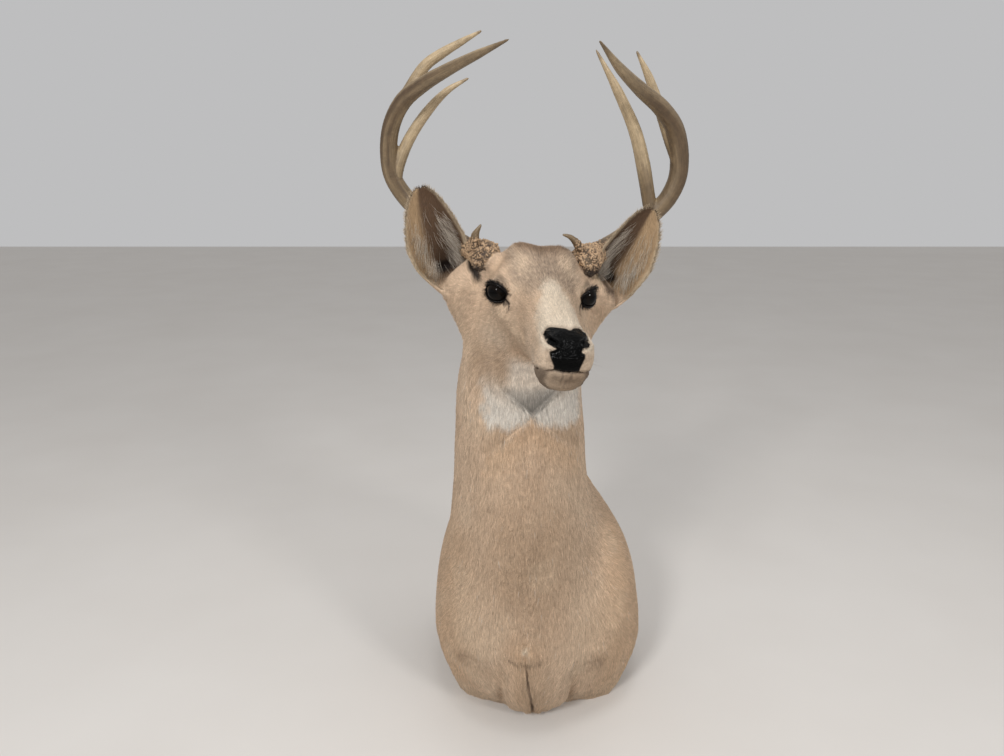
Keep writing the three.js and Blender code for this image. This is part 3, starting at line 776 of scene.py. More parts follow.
# ------------------------------------------------------------------------------ markings
TAN = tone("d2b79c")
NECK_GREY = tone("b49c82")
WARM_TAN = tone("cfad8a")
DUN = tone("b89d82")
PALE_TAN = tone("dac3a8")
WHITE = tone("ddd7cd")
THROAT_SHADE = tone("726d66")
CREAM = tone("dbcdb9")
FOREHEAD = tone("a38f7c")
CROWN = tone("7f6751")
# dark hair, also used for painted shade in the creases above the forelegs
DARK_HAIR_AND_SHADE = tone("4f4136")
EYE_SKIN = tone("120f0e")
NOSE_BLACK = tone("040404")
LIP_BROWN = tone("3a2a20")
EAR_RIM = tone("bba88e")
EAR_INSIDE = tone("574435")
EAR_OUTER = tone("a48a6b")
# near-black painted shade for the ear canals and the gap in front of the right ear
EAR_HOLLOW_SHADE = tone("1f1815")
EAR_BACK = tone("a58b6e")
EAR_HAIR = tone("d2c7b8")

# The edge of the nose's black skin: its half width at levels u.
NOSE_LEVELS = (-16.5, -15, -9, -4, 1, 4.2, 6, 7.6, 8.8, 10, 13, 18)
NOSE_HALF_WIDTHS = (11.5, 13, 13.8, 16.4, 18.4, 18.4, 14.8, 13.8, 17.5, 24.5, 25, 22)


def nose_gap(places):
    """How far places of the head lie outside the edge of the nose's black skin, in millimetres."""
    x, f, u = places.T
    side = np.abs(x + 2.5 * rise(u, 9, 6))
    beside = side - np.interp(u, NOSE_LEVELS, NOSE_HALF_WIDTHS)
    back = 149 - 8 * rise(side, 3, 18) + 8 * rise(side, 19.5, 24)
    back = back + 3.5 * bell(x, 3.5, 3) + 12 * rise(u, 6, -2)
    return np.maximum(np.maximum(beside, back - f), -15.5 - u)


def nose_share(places):
    """1 on the black skin of the nose, in the head's frame."""
    return rise(nose_gap(places), 1, -1)


def mouth_gap(places):
    """How far places of the head lie from the line of the lips."""
    return near_line(folded(places), MOUTH)[0]


def bare_share(points):
    """1 where the skin carries no hair and is moist: the nose, the lids and their corners."""
    places = in_head(points)
    outside, reach = round_eye(places)[:2]
    lids = rise(outside, 6.5, 4.5) * rise(reach, EYE_BALL + 6, EYE_BALL + 3.5)
    duct = rise(near_line(folded(places), TEAR_DUCT)[0], 1.8, 0.9)
    return np.maximum(nose_share(places), np.maximum(lids, duct))


class Paint:
    """Colours for many points, painted over one another by shares."""

    def __init__(self, count, colour):
        self.colours = np.tile(colour, (count, 1))

    def over(self, colour, share):
        self.colours += (colour - self.colours) * np.clip(share, 0, 1)[:, None]


def paint_body(paint, points):
    """Tan and dun over the neck, chest and flanks, with the seam and the whorl above it, and painted shade in
    the creases above the forelegs and along the stumps' inner edges.
    """
    places = in_mount(points)
    x, reach, height = places.T
    across = np.abs(x + 10)
    paint.over(NECK_GREY, 0.6 * rise(reach, 200, 110) * rise(height, 300, 420))
    paint.over(WARM_TAN, 0.45 * rise(across, 70, 120) * rise(height, 360, 260))
    front = rise(reach, 200, 250)
    paint.over(DUN * 0.9, 0.75 * bell(x + 18, 0, 70) * bell(height, 290, 90) * front)
    paint.over(PALE_TAN, 0.4 * bell(height, 170, 60) * front * rise(across, 30, 70))
    paint.over(PALE_TAN, 0.5 * rise(height, 70, 15))
    # painted shade in a band at the creases' level over the shoulders
    paint.over(DUN, 0.35 * bell(height, 105, 18) * rise(across, 45, 70) * front)
    seam = near_line(places, SEAM)[0]
    paint.over(WARM_TAN, 0.4 * bell(seam, 0, 26))
    paint.over(LIP_BROWN, 0.9 * rise(seam, 3.0, 1.2) * rise(height, 12, 30))
    beside = x - WHORL_POINT[0]
    whorl = np.hypot(beside, height - WHORL_POINT[1])
    curl = height - 132 - 0.011 * beside**2
    paint.over(LIP_BROWN, 0.65 * bell(curl, 0, 3) * rise(np.abs(beside), 30, 20) * front)
    paint.over(PALE_TAN, rise(whorl, 8, 4) * front)
    paint.over(CREAM, 0.7 * rise(whorl, 5, 2) * front)
    # painted shade: dun along the grooves at the stumps' inner edges and dark in the creases above the
    # forelegs
    for lines, colour, share, width in ((STUMP_EDGES, DUN, 0.5, 9), (CREASES, DARK_HAIR_AND_SHADE, 0.6, 7)):
        for line in lines:
            paint.over(colour, share * bell(near_line(places, line)[0], 0, width))
    swell = ripple(points / MM, 60, 11)
    paint.over(PALE_TAN, 0.3 * rise(swell, 0.2, 1.6))
    paint.over(DUN, 0.3 * rise(swell, -0.2, -1.6))


def paint_throat(paint, points):
    """The white patch, the shaded fold above it and the darker edges of the point below it."""
    x, reach, height = in_mount(points).T
    ragged = 4 * ripple(points / MM, 16, 12)
    off = np.abs(x - THROAT_POINT[0])
    fold = height - THROAT_POINT[1]
    wide = rise(x + ragged, -88, -72) * rise(x + ragged, 60, 42) * rise(reach + 2 * ragged, 195, 240)
    wide *= 1 - head_share(points)
    patch = wide * rise(fold + np.minimum(0.42 * off, 13) + ragged * 0.6, -8, 6)
    point = fold + 0.87 * off
    paint.over(DUN, 0.8 * rise(point, 0, 2) * rise(point, 44, 10) * wide)
    paint.over(WARM_TAN, 0.4 * rise(point, 0, -3) * rise(point, -60, -10) * wide)
    paint.over(WHITE, 0.88 * patch)
    shade = patch * rise(fold - 0.78 * off, -1, 2) * rise(off, 52, 40)
    paint.over(THROAT_SHADE, 0.85 * shade * rise(fold, 46, 32))
    paint.over(PALE_TAN, 0.5 * shade * rise(fold, 32, 50))


def brow_share(places):
    """1 on the flecked forehead, in the head's frame."""
    x, f, u = places.T
    return rise(u, 8, 26) * rise(f, 84, 36) * rise(np.abs(x), 50, 34) * rise(f, -60, -40)


def paint_face(paint, points):
    """The flecked forehead and brown crown, the pale bridge and muzzle, the chin with painted shade round its
    edge, the lips and nose.
    """
    places = in_head(points)
    x, f, u = places.T
    side = np.abs(x)
    on_head = head_share(points)
    rough = ripple(places, 9, 21)
    brow = brow_share(places) * on_head
    paint.over(FOREHEAD, (0.88 + 0.15 * rough) * brow)
    paint.over(DARK_HAIR_AND_SHADE, 0.15 * bell(side, 0, 13) * bell(f, 14, 22) * rise(u, 25, 32))
    flecks = ripple(places, 3, 23, 40)
    paint.over(DARK_HAIR_AND_SHADE, 0.4 * brow * rise(flecks, 0.2, 1.3))
    paint.over(PALE_TAN, 0.45 * brow * rise(-flecks, 0.2, 1.3))
    paint.over(PALE_TAN, 0.5 * bell(side, 26, 9) * bell(f, -4, 24) * rise(u, 12, 24))
    paint.over(NECK_GREY, 0.12 * rise(u, 6, -14) * rise(f, 100, 60) * on_head)
    paint.over(PALE_TAN, 0.3 * bell(u, -30, 18) * rise(f, -20, 20) * rise(f, 120, 80))
    paint.over(CREAM, 0.3 * bell(u, -58, 18) * bell(f, 5, 28) * rise(side, 28, 42))
    paint.over(DUN, 0.5 * bell(side, 32, 7) * bell(f, 62, 26) * bell(u, 6, 16))
    crown = bell(f, -34, 15) * rise(side, 38, 24) * rise(u, 18, 32) * on_head
    paint.over(CROWN, 0.9 * crown)
    bridge = 5 + 21 * rise(f, 30, 128)
    cream = rise(bridge - side + 2.5 * rough, -8, 5) * rise(f, 28, 56) * rise(u, -4, 10)
    paint.over(CREAM, 0.82 * cream)
    paint.over(CREAM, (0.32 + 0.4 * rise(u, 2, 12)) * rise(f, 118, 140) * rise(u, -50, -30) * on_head)
    paint.over(DUN, 0.45 * rise(f, 112, 130) * rise(f, 172, 150) * rise(side, 22, 28) * bell(u, -6, 15))
    under = rise(u + 0.22 * f, -62, -88) * rise(f, -60, -20) * on_head
    paint.over(WHITE, 0.65 * under * rise(side, 44, 24))
    paint.over(DUN * 0.88, 0.75 * bell(u, -98, 22) * rise(side, 24, 40) * rise(f, -40, -10) * rise(f, 70, 40))
    chin = rise(f, 118, 140) * rise(u - 0.36 * f, -76, -84)
    paint.over(CREAM, 0.3 * chin)
    paint.over(DUN * 0.8, 0.5 * chin + 0.3 * chin * rise(x, -12, 12))
    streaks = rise(ripple(places * (1, 0.15, 0.15), 2.8, 22), -0.2, 1.0)
    paint.over(DARK_HAIR_AND_SHADE, (0.35 + 0.25 * streaks) * chin * rise(u, -46, -30) * bell(x, 1, 18))
    lips = mouth_gap(places)
    paint.over(LIP_BROWN, 0.95 * rise(lips, 2.4, 1.1))
    # brown round the chin's edge: partly brown hair, partly painted shade where the chin's edge meets the
    # throat
    rounded = np.hypot(x / 22.5, (u + 27) / 20)
    paint.over(LIP_BROWN, 0.62 * chin * rise(rounded, 0.8, 1.0) * rise(f, 128, 142))
    halo = rise(nose_gap(places), 6.5, 1.5) * rise(u, -18, -8)
    paint.over(FOREHEAD, 0.6 * halo)
    for spot in LIP_SPOTS:
        gap = np.linalg.norm(folded(places) - spot, axis=1)
        paint.over(LIP_BROWN, 0.7 * rise(gap, 4.5, 2.5))
    paint.over(NOSE_BLACK, nose_share(places))


def paint_eyes(paint, points):
    """The pale ring, the smudge and the black rim round each eye, and the duct in front of it."""
    places = in_head(points)
    outside, reach, ahead, above = round_eye(places)
    wide, close = rise(reach, 42, 30), rise(reach, EYE_BALL + 9, EYE_BALL + 4)
    paint.over(PALE_TAN, 0.5 * wide * bell(outside, 24, 12))
    paint.over(DUN, 0.35 * wide * bell(outside, 16, 8) * rise(above, 0, -8))
    smudge = np.hypot(above - 14.5, (ahead - 3) * 0.5)
    paint.over(DARK_HAIR_AND_SHADE, 0.6 * rise(smudge, 8, 2) * rise(reach, 32, 24))
    paint.over(DARK_HAIR_AND_SHADE, 0.75 * close * rise(outside, 14, 7))
    paint.over(EYE_SKIN, close * rise(outside, 8.5, 6))
    duct = near_line(folded(places), TEAR_DUCT)[0]
    paint.over(DARK_HAIR_AND_SHADE, 0.35 * rise(duct, 5.5, 2.5))
    paint.over(EYE_SKIN, 0.9 * rise(duct, 2.2, 1.0))


def paint_ears(paint, points):
    """Tan backs and rims and grey-brown insides, with painted shade deep in the cups, in the canals and in
    the gaps in front of the ears.
    """
    for ear in EARS.values():
        along, across, gap, within = round_ear(points, ear)
        near = rise(along, 0.08, 0.24) * rise(gap, 12, 6)
        inside = near * rise(within, -0.2, 0.4)
        off = np.abs(across)
        outer = -across * np.sign(ear["base"][0])
        paint.over(EAR_BACK, 0.8 * near)
        paint.over(EAR_INSIDE, inside)
        paint.over(EAR_OUTER, 0.9 * inside * rise(outer, *ear["pale_from"]))
        # painted shade deep in the cup, by its inner rim and towards the base
        paint.over(EAR_INSIDE * 0.6, 0.8 * inside * bell(outer, -0.2, 0.3) * rise(along, 0.8, 0.35))
        paint.over(EAR_RIM, near * rise(off, 0.8, 0.98) * 0.8)
        # painted shade in the ear's canal, which is a closed surface here
        canal = bell(along, 0.27, 0.06) * bell(outer, 0, 0.28) * rise(along, 0.17, 0.22)
        paint.over(EAR_HOLLOW_SHADE, rise(canal, 0.1, 0.7) * rise(within, -0.2, 0.4) * rise(gap, 9, 5))
    places = in_mount(points)
    # painted shade in the gap in front of the right ear
    gap, along = near_line(places, EAR_GAP)
    paint.over(EAR_HOLLOW_SHADE, 0.95 * rise(gap, 10, 4) * rise(along, 1, 0.75))
    # painted shade in the fold in front of the left ear
    gap, along = near_line(places, EAR_FOLD)
    paint.over(EAR_INSIDE * 0.7, 0.9 * rise(gap, 13, 7) * rise(along, 1, 0.7))


def markings(points):
    """The colour of the hair and skin at points, with its painted shade, shared by the skin and the coat."""
    paint = Paint(len(points), TAN)
    paint_body(paint, points)
    paint_throat(paint, points)
    paint_face(paint, points)
    paint_ears(paint, points)
    paint_eyes(paint, points)
    return paint.colours


# ------------------------------------------------------------------------------ coat
def turbulence(points, size, seed):
    """A smooth noise in each of the three directions."""
    return np.stack([ripple(points / MM, size, seed + axis) for axis in range(3)], axis=1)


def hair_ways(points, normals):
    """The ways in which the hair lies at points: down the neck and chest, back from the nose over the
    head, and from base to tip on the ears."""
    x, reach, height = in_mount(points).T
    ways = np.zeros_like(points)
    ways[:, 2] = -1
    flank = rise(np.abs(x + 10), 60, 130) * rise(height, 420, 250)
    ways[:, 1] = 0.75 * flank * rise(height, 60, 140)
    front = rise(reach, 200, 250) * rise(height, 190, 110)
    ways[:, 0] -= front * np.clip((x + 18) / 60, -0.7, 0.7) * rise(np.abs(x + 18), 90, 60)
    on_head = head_share(points)[:, None]
    places = in_head(points)
    backwards = np.tile(head_direction(0, -1, 0), (len(points), 1))
    cheek = rise(places[:, 2], 10, -30)[:, None] * rise(places[:, 1], 130, 60)[:, None]
    backwards += 0.55 * cheek * head_direction(0, 0, -1)
    parting = np.sign(places[:, :1]) * rise(np.abs(places[:, :1]), 0, 20) * rise(places[:, 2:], 0, 20)
    backwards += 0.35 * parting * head_direction(1, 0, 0)
    outside, reach_eye = round_eye(places)[:2]
    centres = from_head(np.array(EYE_CENTRE) * np.where(places[:, :1] < 0, -1, 1) ** [1, 0, 0])
    close = (rise(outside, 34, 12) * rise(reach_eye, 40, 28))[:, None]
    backwards += 1.3 * close * unit(points - centres)
    ways = ways * (1 - on_head) + backwards * on_head
    for ear in EARS.values():
        _, axis, _, side, _ = ear_axes(ear)
        along, across, gap, _ = round_ear(points, ear)
        near = (rise(along, -0.08, 0.12) * rise(gap, 16, 7))[:, None]
        spread = 0.5 * np.clip(across, -1, 1)[:, None] * side
        ways = ways * (1 - near) + (axis + spread) * near
    ways = unit(ways) + 0.1 * turbulence(points, 45, 31) + 0.05 * turbulence(points, 10, 41)
    return flatten(ways, normals)


def hair_sizes(points):
    """The length and width of the hair at points, in metres."""
    settings = bpy.context.scene.buck_coat
    places = in_head(points)
    side, f, u = np.abs(places[:, 0]), places[:, 1], places[:, 2]
    on_head = head_share(points)
    face = settings.face_hair * (1.15 - 0.55 * rise(f, 60, 150))
    crown = bell(f, -34, 17) * rise(side, 42, 26) * rise(u, 10, 30)
    face = face * (1 + 1.1 * crown)
    length = settings.body_hair * (1 - on_head) + face * on_head
    width = 0.00052 * (1 - on_head) + 0.0005 * on_head
    ear = ear_share(points)
    length = length * (1 - ear) + settings.ear_hair * ear
    width = width * (1 - ear) + 0.0006 * ear
    return length, width


def hair_density(points, normals):
    """How closely the hair's roots stand, from 0 to 1."""
    settings = bpy.context.scene.buck_coat
    on_head = head_share(points)
    ear = ear_share(points)
    density = settings.body_density * (1 - on_head) + on_head
    density = density * (1 - ear) + 0.55 * ear
    density *= 1 - bare_share(points)
    density *= rise(mouth_gap(in_head(points)), 0.8, 2.0)
    density *= 1 - (points[:, 2] < FLOOR + 0.0025) * (normals[:, 2] < -0.5)
    density *= points[:, 1] < BOARD_FACE - 0.003
    for axes in EARS.values():
        along, across, gap, within = round_ear(points, axes)
        inner = rise(along, 0, 0.1) * rise(gap, 9, 4) * rise(within, 0, 0.5)
        density *= 1 - 0.5 * inner * rise(np.abs(across), 0.8, 0.5)
    return density


def scatter(piece, count):
    """Roots spread over a mesh by the hair's density: points and the skin's normals there."""
    mesh = piece.data
    draw = np.random.default_rng(7)
    points, normals = read_points(mesh), read_normals(mesh)
    mesh.calc_loop_triangles()
    corners = np.empty(len(mesh.loop_triangles) * 3, np.int32)
    mesh.loop_triangles.foreach_get("vertices", corners)
    corners = corners.reshape(-1, 3)
    first, second, third = (points[corners[:, n]] for n in range(3))
    areas = np.linalg.norm(np.cross(second - first, third - first), axis=1) / 2
    middles = (first + second + third) / 3
    weights = areas * hair_density(middles, unit(normals[corners].mean(axis=1)))
    totals = np.cumsum(weights)
    picks = (np.arange(count) + draw.random(count)) / count * totals[-1]
    chosen = np.minimum(np.searchsorted(totals, picks), len(corners) - 1)
    a, b = draw.random((2, count, 1))
    over = a + b > 1
    a, b = np.where(over, 1 - a, a), np.where(over, 1 - b, b)
    shares = (1 - a - b, a, b)
    roots = sum(share * points[corners[chosen, n]] for n, share in enumerate(shares))
    ways = sum(share * normals[corners[chosen, n]] for n, share in enumerate(shares))
    return roots, unit(ways)


TUFT_CORNERS = np.array([(3, 2, 0), (2, 3, 1), (2, 1, 0), (1, 3, 0)])
TUFT_SHADES = (0.8, 0.8, 1.0, 1.1)  # of the two root corners, the ridge and the tip: painted shade towards the roots and painted light at the tip
PATCH = np.array([(0, 0), (0.003, 0), (0.0015, 0.0012), (0.0015, 0.003)])
ROOT_DEPTH = 0.0004  # how far roots are sunk into the skin
MOST_TUFTS = 50000  # in one piece, which keeps it under 200,000 triangles


def dress_hairs(piece, colours, shades, unwrapped, patch):
    """Shades each hair from root to tip, and gives it a patch of the flat map at its root's place."""
    shaded = colours[:, None, :] * np.array(shades)[:, None]
    write_colours(piece.data, "Markings", shaded.reshape(-1, 3))
    unwrap = piece.data.uv_layers.new(name="OFBake")
    corners = unwrapped[:, None, None, :] + patch
    unwrap.uv.foreach_set("vector", corners.astype(np.float32).ravel())


def tuft_piece(name, roots, normals, ways, lengths, widths, lifts, colours, unwrapped):
    """A coat piece of closed four-sided tufts: two corners at the root, a raised ridge and a tip."""
    across = np.cross(normals, ways)
    length, width, lift = lengths[:, None], widths[:, None], lifts[:, None]
    sunk = roots - ROOT_DEPTH * normals
    ridge = roots + ways * 0.4 * length + normals * (0.6 * lift + 0.16 * width)
    tip = roots + ways * length + normals * lift
    for end in (ridge, tip):
        end[:, 2] = np.maximum(end[:, 2], FLOOR + 2 * CLEARANCE)
        end[:, 1] = np.minimum(end[:, 1], BOARD_FACE - CLEARANCE)
    points = np.stack([sunk - across * width / 2, sunk + across * width / 2, ridge, tip], axis=1)
    faces = np.arange(len(roots))[:, None, None] * 4 + TUFT_CORNERS
    piece = new_piece(name, points.reshape(-1, 3), faces.reshape(-1, 3))
    sideways = across[:, None, :] * np.array([-0.3, 0.3, 0, 0])[:, None]
    shade_smooth(piece)
    piece.data.normals_split_custom_set_from_vertices(unit(normals[:, None, :] + sideways).reshape(-1, 3))
    dress_hairs(piece, colours, TUFT_SHADES, unwrapped, PATCH[TUFT_CORNERS])
    return piece


def unwrap_round(turns, levels):
    """Places on a flat map: turns round an axis and levels along it, each spread over the map."""
    both = np.stack([turns, levels], axis=1)
    low, high = both.min(axis=0), both.max(axis=0)
    return 0.01 + 0.975 * (both - low) / (high - low)


def coat_regions(points):
    """The coat's pieces by name: a mask of the points of each, and their places on its flat map."""
    x, reach, height = in_mount(points).T
    places = in_head(points)
    body_turn = np.degrees(np.arctan2(x + 15, reach - 140))
    head_turn = np.degrees(np.arctan2(places[:, 0], places[:, 2] + 15))
    left_over = np.ones(len(points), bool)
    regions = {}

    def part(name, mask, turns, levels):
        mask = mask & left_over
        left_over[mask] = False
        regions[name] = (mask, unwrap_round(turns[mask], levels[mask]))

    for name, ear in EARS.items():
        along, across, gap, within = round_ear(points, ear)
        inner_half = np.where(within > 0, 1.2 + across, -1.2 - across)
        part("coat_" + name, (along > 0.02) & (gap < 9), inner_half, along)
    on_head = head_share(points) > 0.5
    for name, mask in (
        ("muzzle", places[:, 1] > 52),
        ("forehead", np.abs(head_turn) < 74),
        ("cheek_left", x > -8),
        ("cheek_right", on_head),
    ):
        part("coat_" + name, on_head & mask, head_turn, places[:, 1])
    neck, front = height > 330, np.abs(body_turn) < 38
    for name, mask in (
        ("neck_front", neck & (np.abs(body_turn) < 62)),
        ("neck_left", neck & (body_turn > 0)),
        ("neck_right", neck),
        ("chest", front & (height > 165)),
        ("brisket", front),
        ("shoulder_left", body_turn > 0),
        ("shoulder_right", body_turn <= 0),
    ):
        part("coat_" + name, mask, body_turn, height)
    return regions


# ------------------------------------------------------------------------------ long hairs
HAIR_SIDES = 3
HAIR_STEPS = (0, 0.4, 0.75)  # where a hair's rings lie from root to tip
# Shades of each ring from root to tip: painted shade towards the roots and painted light at the tip.
HAIR_SHADES = (*np.repeat([0.8, 0.95, 1.0], HAIR_SIDES), 1.1)


def strand_piece(name, roots, normals, ways, lengths, widths, lifts, droop, colours, unwrapped):
    """A piece of long bent hairs: closed three-sided tapers that leave the skin and bend over. droop
    is the way in which each one bends."""
    across = unit(np.cross(normals, ways))
    rings = []
    for step in (*HAIR_STEPS, 1):
        rising = lifts[:, None] * step * (1 - 0.25 * step)
        middle = roots - ROOT_DEPTH * normals + ways * (lengths[:, None] * step) + normals * rising
        middle = middle + droop * (lengths[:, None] * step**2)
        if step == 1:
            rings.append(middle[:, None, :])
            continue
        thick = widths[:, None] * (1 - 0.55 * step) / 2
        corners = []
        for corner in range(HAIR_SIDES):
            angle = 2 * np.pi * corner / HAIR_SIDES + np.pi / 2
            corners.append(middle + thick * (np.cos(angle) * across + 0.6 * np.sin(angle) * normals))
        rings.append(np.stack(corners, axis=1))
    points = np.concatenate(rings, axis=1)
    tip = HAIR_SIDES * len(HAIR_STEPS)
    faces = [(2, 1, 0)]
    for ring in range(len(HAIR_STEPS) - 1):
        for corner in range(HAIR_SIDES):
            here, after = ring * HAIR_SIDES + corner, ring * HAIR_SIDES + (corner + 1) % HAIR_SIDES
            faces += [(here, after, after + HAIR_SIDES), (here, after + HAIR_SIDES, here + HAIR_SIDES)]
    last = tip - HAIR_SIDES
    faces += [(last + corner, last + (corner + 1) % HAIR_SIDES, tip) for corner in range(HAIR_SIDES)]
    faces = np.array(faces)
    every = np.arange(len(roots))[:, None, None] * (tip + 1) + faces
    piece = new_piece(name, points.reshape(-1, 3), every.reshape(-1, 3))
    patch = np.stack([(np.arange(tip + 1) % HAIR_SIDES) * 0.0012, np.arange(tip + 1) * 0.0003], axis=1)
    dress_hairs(piece, colours, HAIR_SHADES, unwrapped, patch[faces])
    return piece


def ear_hair(name, ear, count, seed):
    """Long pale hairs inside an ear's cup, and short ragged ones round its rim."""
    draw = np.random.default_rng(seed)
    _, axis, opens, across, _ = ear_axes(ear)
    inner_count = count // 2
    inwards = np.sign(ear["base"][0])
    along = 0.12 + 0.6 * draw.beta(1.3, 2.2, inner_count)
    share = inwards * np.where(draw.random(inner_count) < 0.65, 1, -1) * draw.beta(3, 2, inner_count) * 0.92
    rim_along = draw.uniform(0.02, 0.99, count - inner_count)
    rim_share = draw.choice([-1, 1], count - inner_count) * draw.uniform(0.9, 1.0, count - inner_count)
    along, share = np.append(along, rim_along), np.append(share, rim_share)
    on_rim = np.arange(count) >= inner_count
    roots = ear_surface(ear, along, share, True, EAR_INSET) * MM
    hubs = ear_surface(ear, along, 0 * share, True, EAR_INSET) * MM
    normals = unit(0.6 * opens + unit(hubs - roots + 1e-9))
    outwards = np.sign(share)[:, None] * across
    inner_way = axis - 0.75 * outwards * (np.abs(share)[:, None]) + 0.35 * opens
    rim_way = axis + 0.5 * outwards + 0.3 * opens
    ways = np.where(on_rim[:, None], rim_way, inner_way) + draw.normal(0, 0.16, (count, 3))
    ways = unit(ways)
    lengths = np.where(on_rim, 0.0065, 0.024 * (1 - 0.4 * along)) * draw.uniform(0.6, 1.2, count)
    widths = np.where(on_rim, 0.0006, 0.00042) * draw.uniform(0.8, 1.2, count)
    lifts = np.where(on_rim, 0.001, 0.005) * draw.uniform(0.5, 1.5, count)
    droop = np.where(on_rim[:, None], 0.1 * axis, 0.3 * axis + 0.12 * outwards)
    pale = np.where(on_rim[:, None], EAR_RIM, EAR_HAIR)
    colours = pale * draw.uniform(0.65, 1.1, (count, 1))
    unwrapped = unwrap_round(share, along)
    return strand_piece(name, roots, normals, ways, lengths, widths, lifts, droop, colours, unwrapped)


def whiskers(count):
    """A few long thin hairs on the lips and the chin."""
    draw = np.random.default_rng(61)
    side = draw.choice([-1, 1], count)
    f, low = draw.uniform(128, 172, count), draw.random(count) < 0.5
    x = np.where(low, draw.uniform(6, 18, count), 24.5 - 0.05 * np.abs(f - 150))
    u = np.where(low, draw.uniform(-44, -38, count), draw.uniform(-17, -4, count))
    roots = from_head(np.stack([side * x * 0.93, f, u], axis=1))
    out = np.stack([side * np.where(low, 0.35, 0.9), 0.25 + 0 * f, np.where(low, -0.9, -0.1)], axis=1)
    normals = unit((out * (1, -1, 1)) @ HEAD_TURN.T)
    ways = unit(normals + 0.5 * head_direction(0, -1, -0.4) + draw.normal(0, 0.15, (count, 3)))
    lengths, widths = draw.uniform(0.012, 0.03, count), np.full(count, 0.00024)
    droop = np.tile(head_direction(0, -0.2, -0.2) * 0.25, (count, 1))
    pale = low | (draw.random(count) < 0.7)
    colours = np.where(pale[:, None], WHITE, DARK_HAIR_AND_SHADE) * draw.uniform(0.7, 1, (count, 1))
    shape = (roots, normals, ways, lengths, widths, 0 * lengths, droop)
    return strand_piece("whiskers", *shape, colours, unwrap_round(x, f))


# ------------------------------------------------------------------------------ antlers
# Stations along each beam and tine: x, reach, height and radius.
ANTLERS = {
    "antler_right": {
        "beam": [
            (-67, 231, 679, 14), (-76, 223, 685, 21), (-82, 214, 689, 18),
            (-91, 200, 691, 14.5), (-108, 172, 696, 13.5), (-131, 148, 709, 13),
            (-159, 134, 731, 12.6), (-186, 131, 754, 12.2), (-205, 137, 785, 11.7),
            (-208, 144, 818, 11.7), (-201, 155, 851, 11.4), (-183, 172, 878, 10.9),
            (-156, 195, 895, 9.6), (-121, 228, 909, 7.5), (-84, 262, 921, 5.1),
            (-51, 292, 931, 1.4),
        ],
        "brow": [
            (-86, 213, 691, 8), (-90, 229, 701, 7), (-90, 238, 715, 5), (-83, 241, 728, 1.4),
        ],
        "second": [
            (-202, 136, 778, 9), (-196, 139, 800, 8.4), (-181, 142, 832, 7.7),
            (-155, 148, 867, 6.6), (-128, 155, 892, 4.5), (-101, 162, 906, 1.6),
        ],
        "third": [
            (-178, 176, 884, 8.9), (-153, 184, 918, 6.9), (-132, 192, 931, 6.2),
            (-106, 203, 943, 4.2), (-82, 215, 953, 1.5),
        ],
    },
    "antler_left": {
        "beam": [
            (40, 229, 674, 14), (50, 221, 680, 21), (56, 212, 684, 18), (63, 199, 686, 14.5),
            (80, 172, 691, 13.5), (104, 148, 702, 13), (130, 135, 718, 12.5),
            (154, 134, 738, 12.2), (170, 138, 757, 12.2), (180, 143, 783, 12.5),
            (179, 150, 813, 12.6), (168, 163, 845, 12), (146, 183, 868, 10.8),
            (114, 212, 887, 8.9), (81, 250, 907, 6.1), (52, 288, 930, 1.4),
        ],
        "brow": [
            (56, 211, 685, 8), (45, 228, 693, 6.6), (36, 238, 706, 4.8), (28, 241, 713, 3.2),
            (19, 242, 716, 1.3),
        ],
        "second": [
            (148, 136, 736, 9.6), (141, 138, 767, 9.5), (133, 142, 800, 9.7),
            (119, 150, 842, 8.6), (93, 160, 890, 6.4), (63, 172, 936, 1.6),
        ],
        "third": [
            (178, 150, 802, 8.7), (164, 149, 835, 7.9), (149, 153, 871, 7.2),
            (131, 162, 908, 5.4), (113, 172, 936, 1.6),
        ],
    },
}
ANTLER_CELL = 0.00125
ROD_SIDES = 20
ROD_STEPS = 8  # points of a centre line for each station
PEARLED = 115  # millimetres of the beam that carry pearls
# dark brown of the antler's crevices, also used for painted shade under the burrs
CREVICE_AND_SHADE = tone("3d2c20")
PEARL = tone("be9e7c")


def centre_line(stations):
    """A smooth line through stations: its points, radii, and two ways square to it at each point."""
    stations = np.array(stations, float)
    places = in_metres(stations[:, :3]) / MM
    padded = np.vstack([2 * places[0] - places[1], places, 2 * places[-1] - places[-2]])
    share = np.linspace(0, 1, ROD_STEPS, endpoint=False)[:, None]
    points = []
    for before, start, end, after in zip(padded, padded[1:], padded[2:], padded[3:]):
        gaps = [np.sqrt(np.linalg.norm(b - a)) for a, b in ((before, start), (start, end), (end, after))]
        leave = (start - before) / gaps[0] - (end - before) / (gaps[0] + gaps[1]) + (end - start) / gaps[1]
        arrive = (end - start) / gaps[1] - (after - start) / (gaps[1] + gaps[2]) + (after - end) / gaps[2]
        leave, arrive = leave * gaps[1], arrive * gaps[1]
        points.append(
            (2 * share**3 - 3 * share**2 + 1) * start
            + (share**3 - 2 * share**2 + share) * leave
            + (3 * share**2 - 2 * share**3) * end
            + (share**3 - share**2) * arrive
        )
    points = np.vstack(points + [places[-1:]])
    counted = np.arange(len(points)) / ROD_STEPS
    radii = np.interp(counted, np.arange(len(stations)), stations[:, 3])
    runs = unit(np.gradient(points, axis=0))
    side = unit(np.cross((0, 1, 0), runs[0]))
    sides = []
    for run in runs:
        side = unit(side - side @ run * run)
        sides.append(side)
    sides = np.array(sides)
    return points, radii, sides, np.cross(runs, sides)


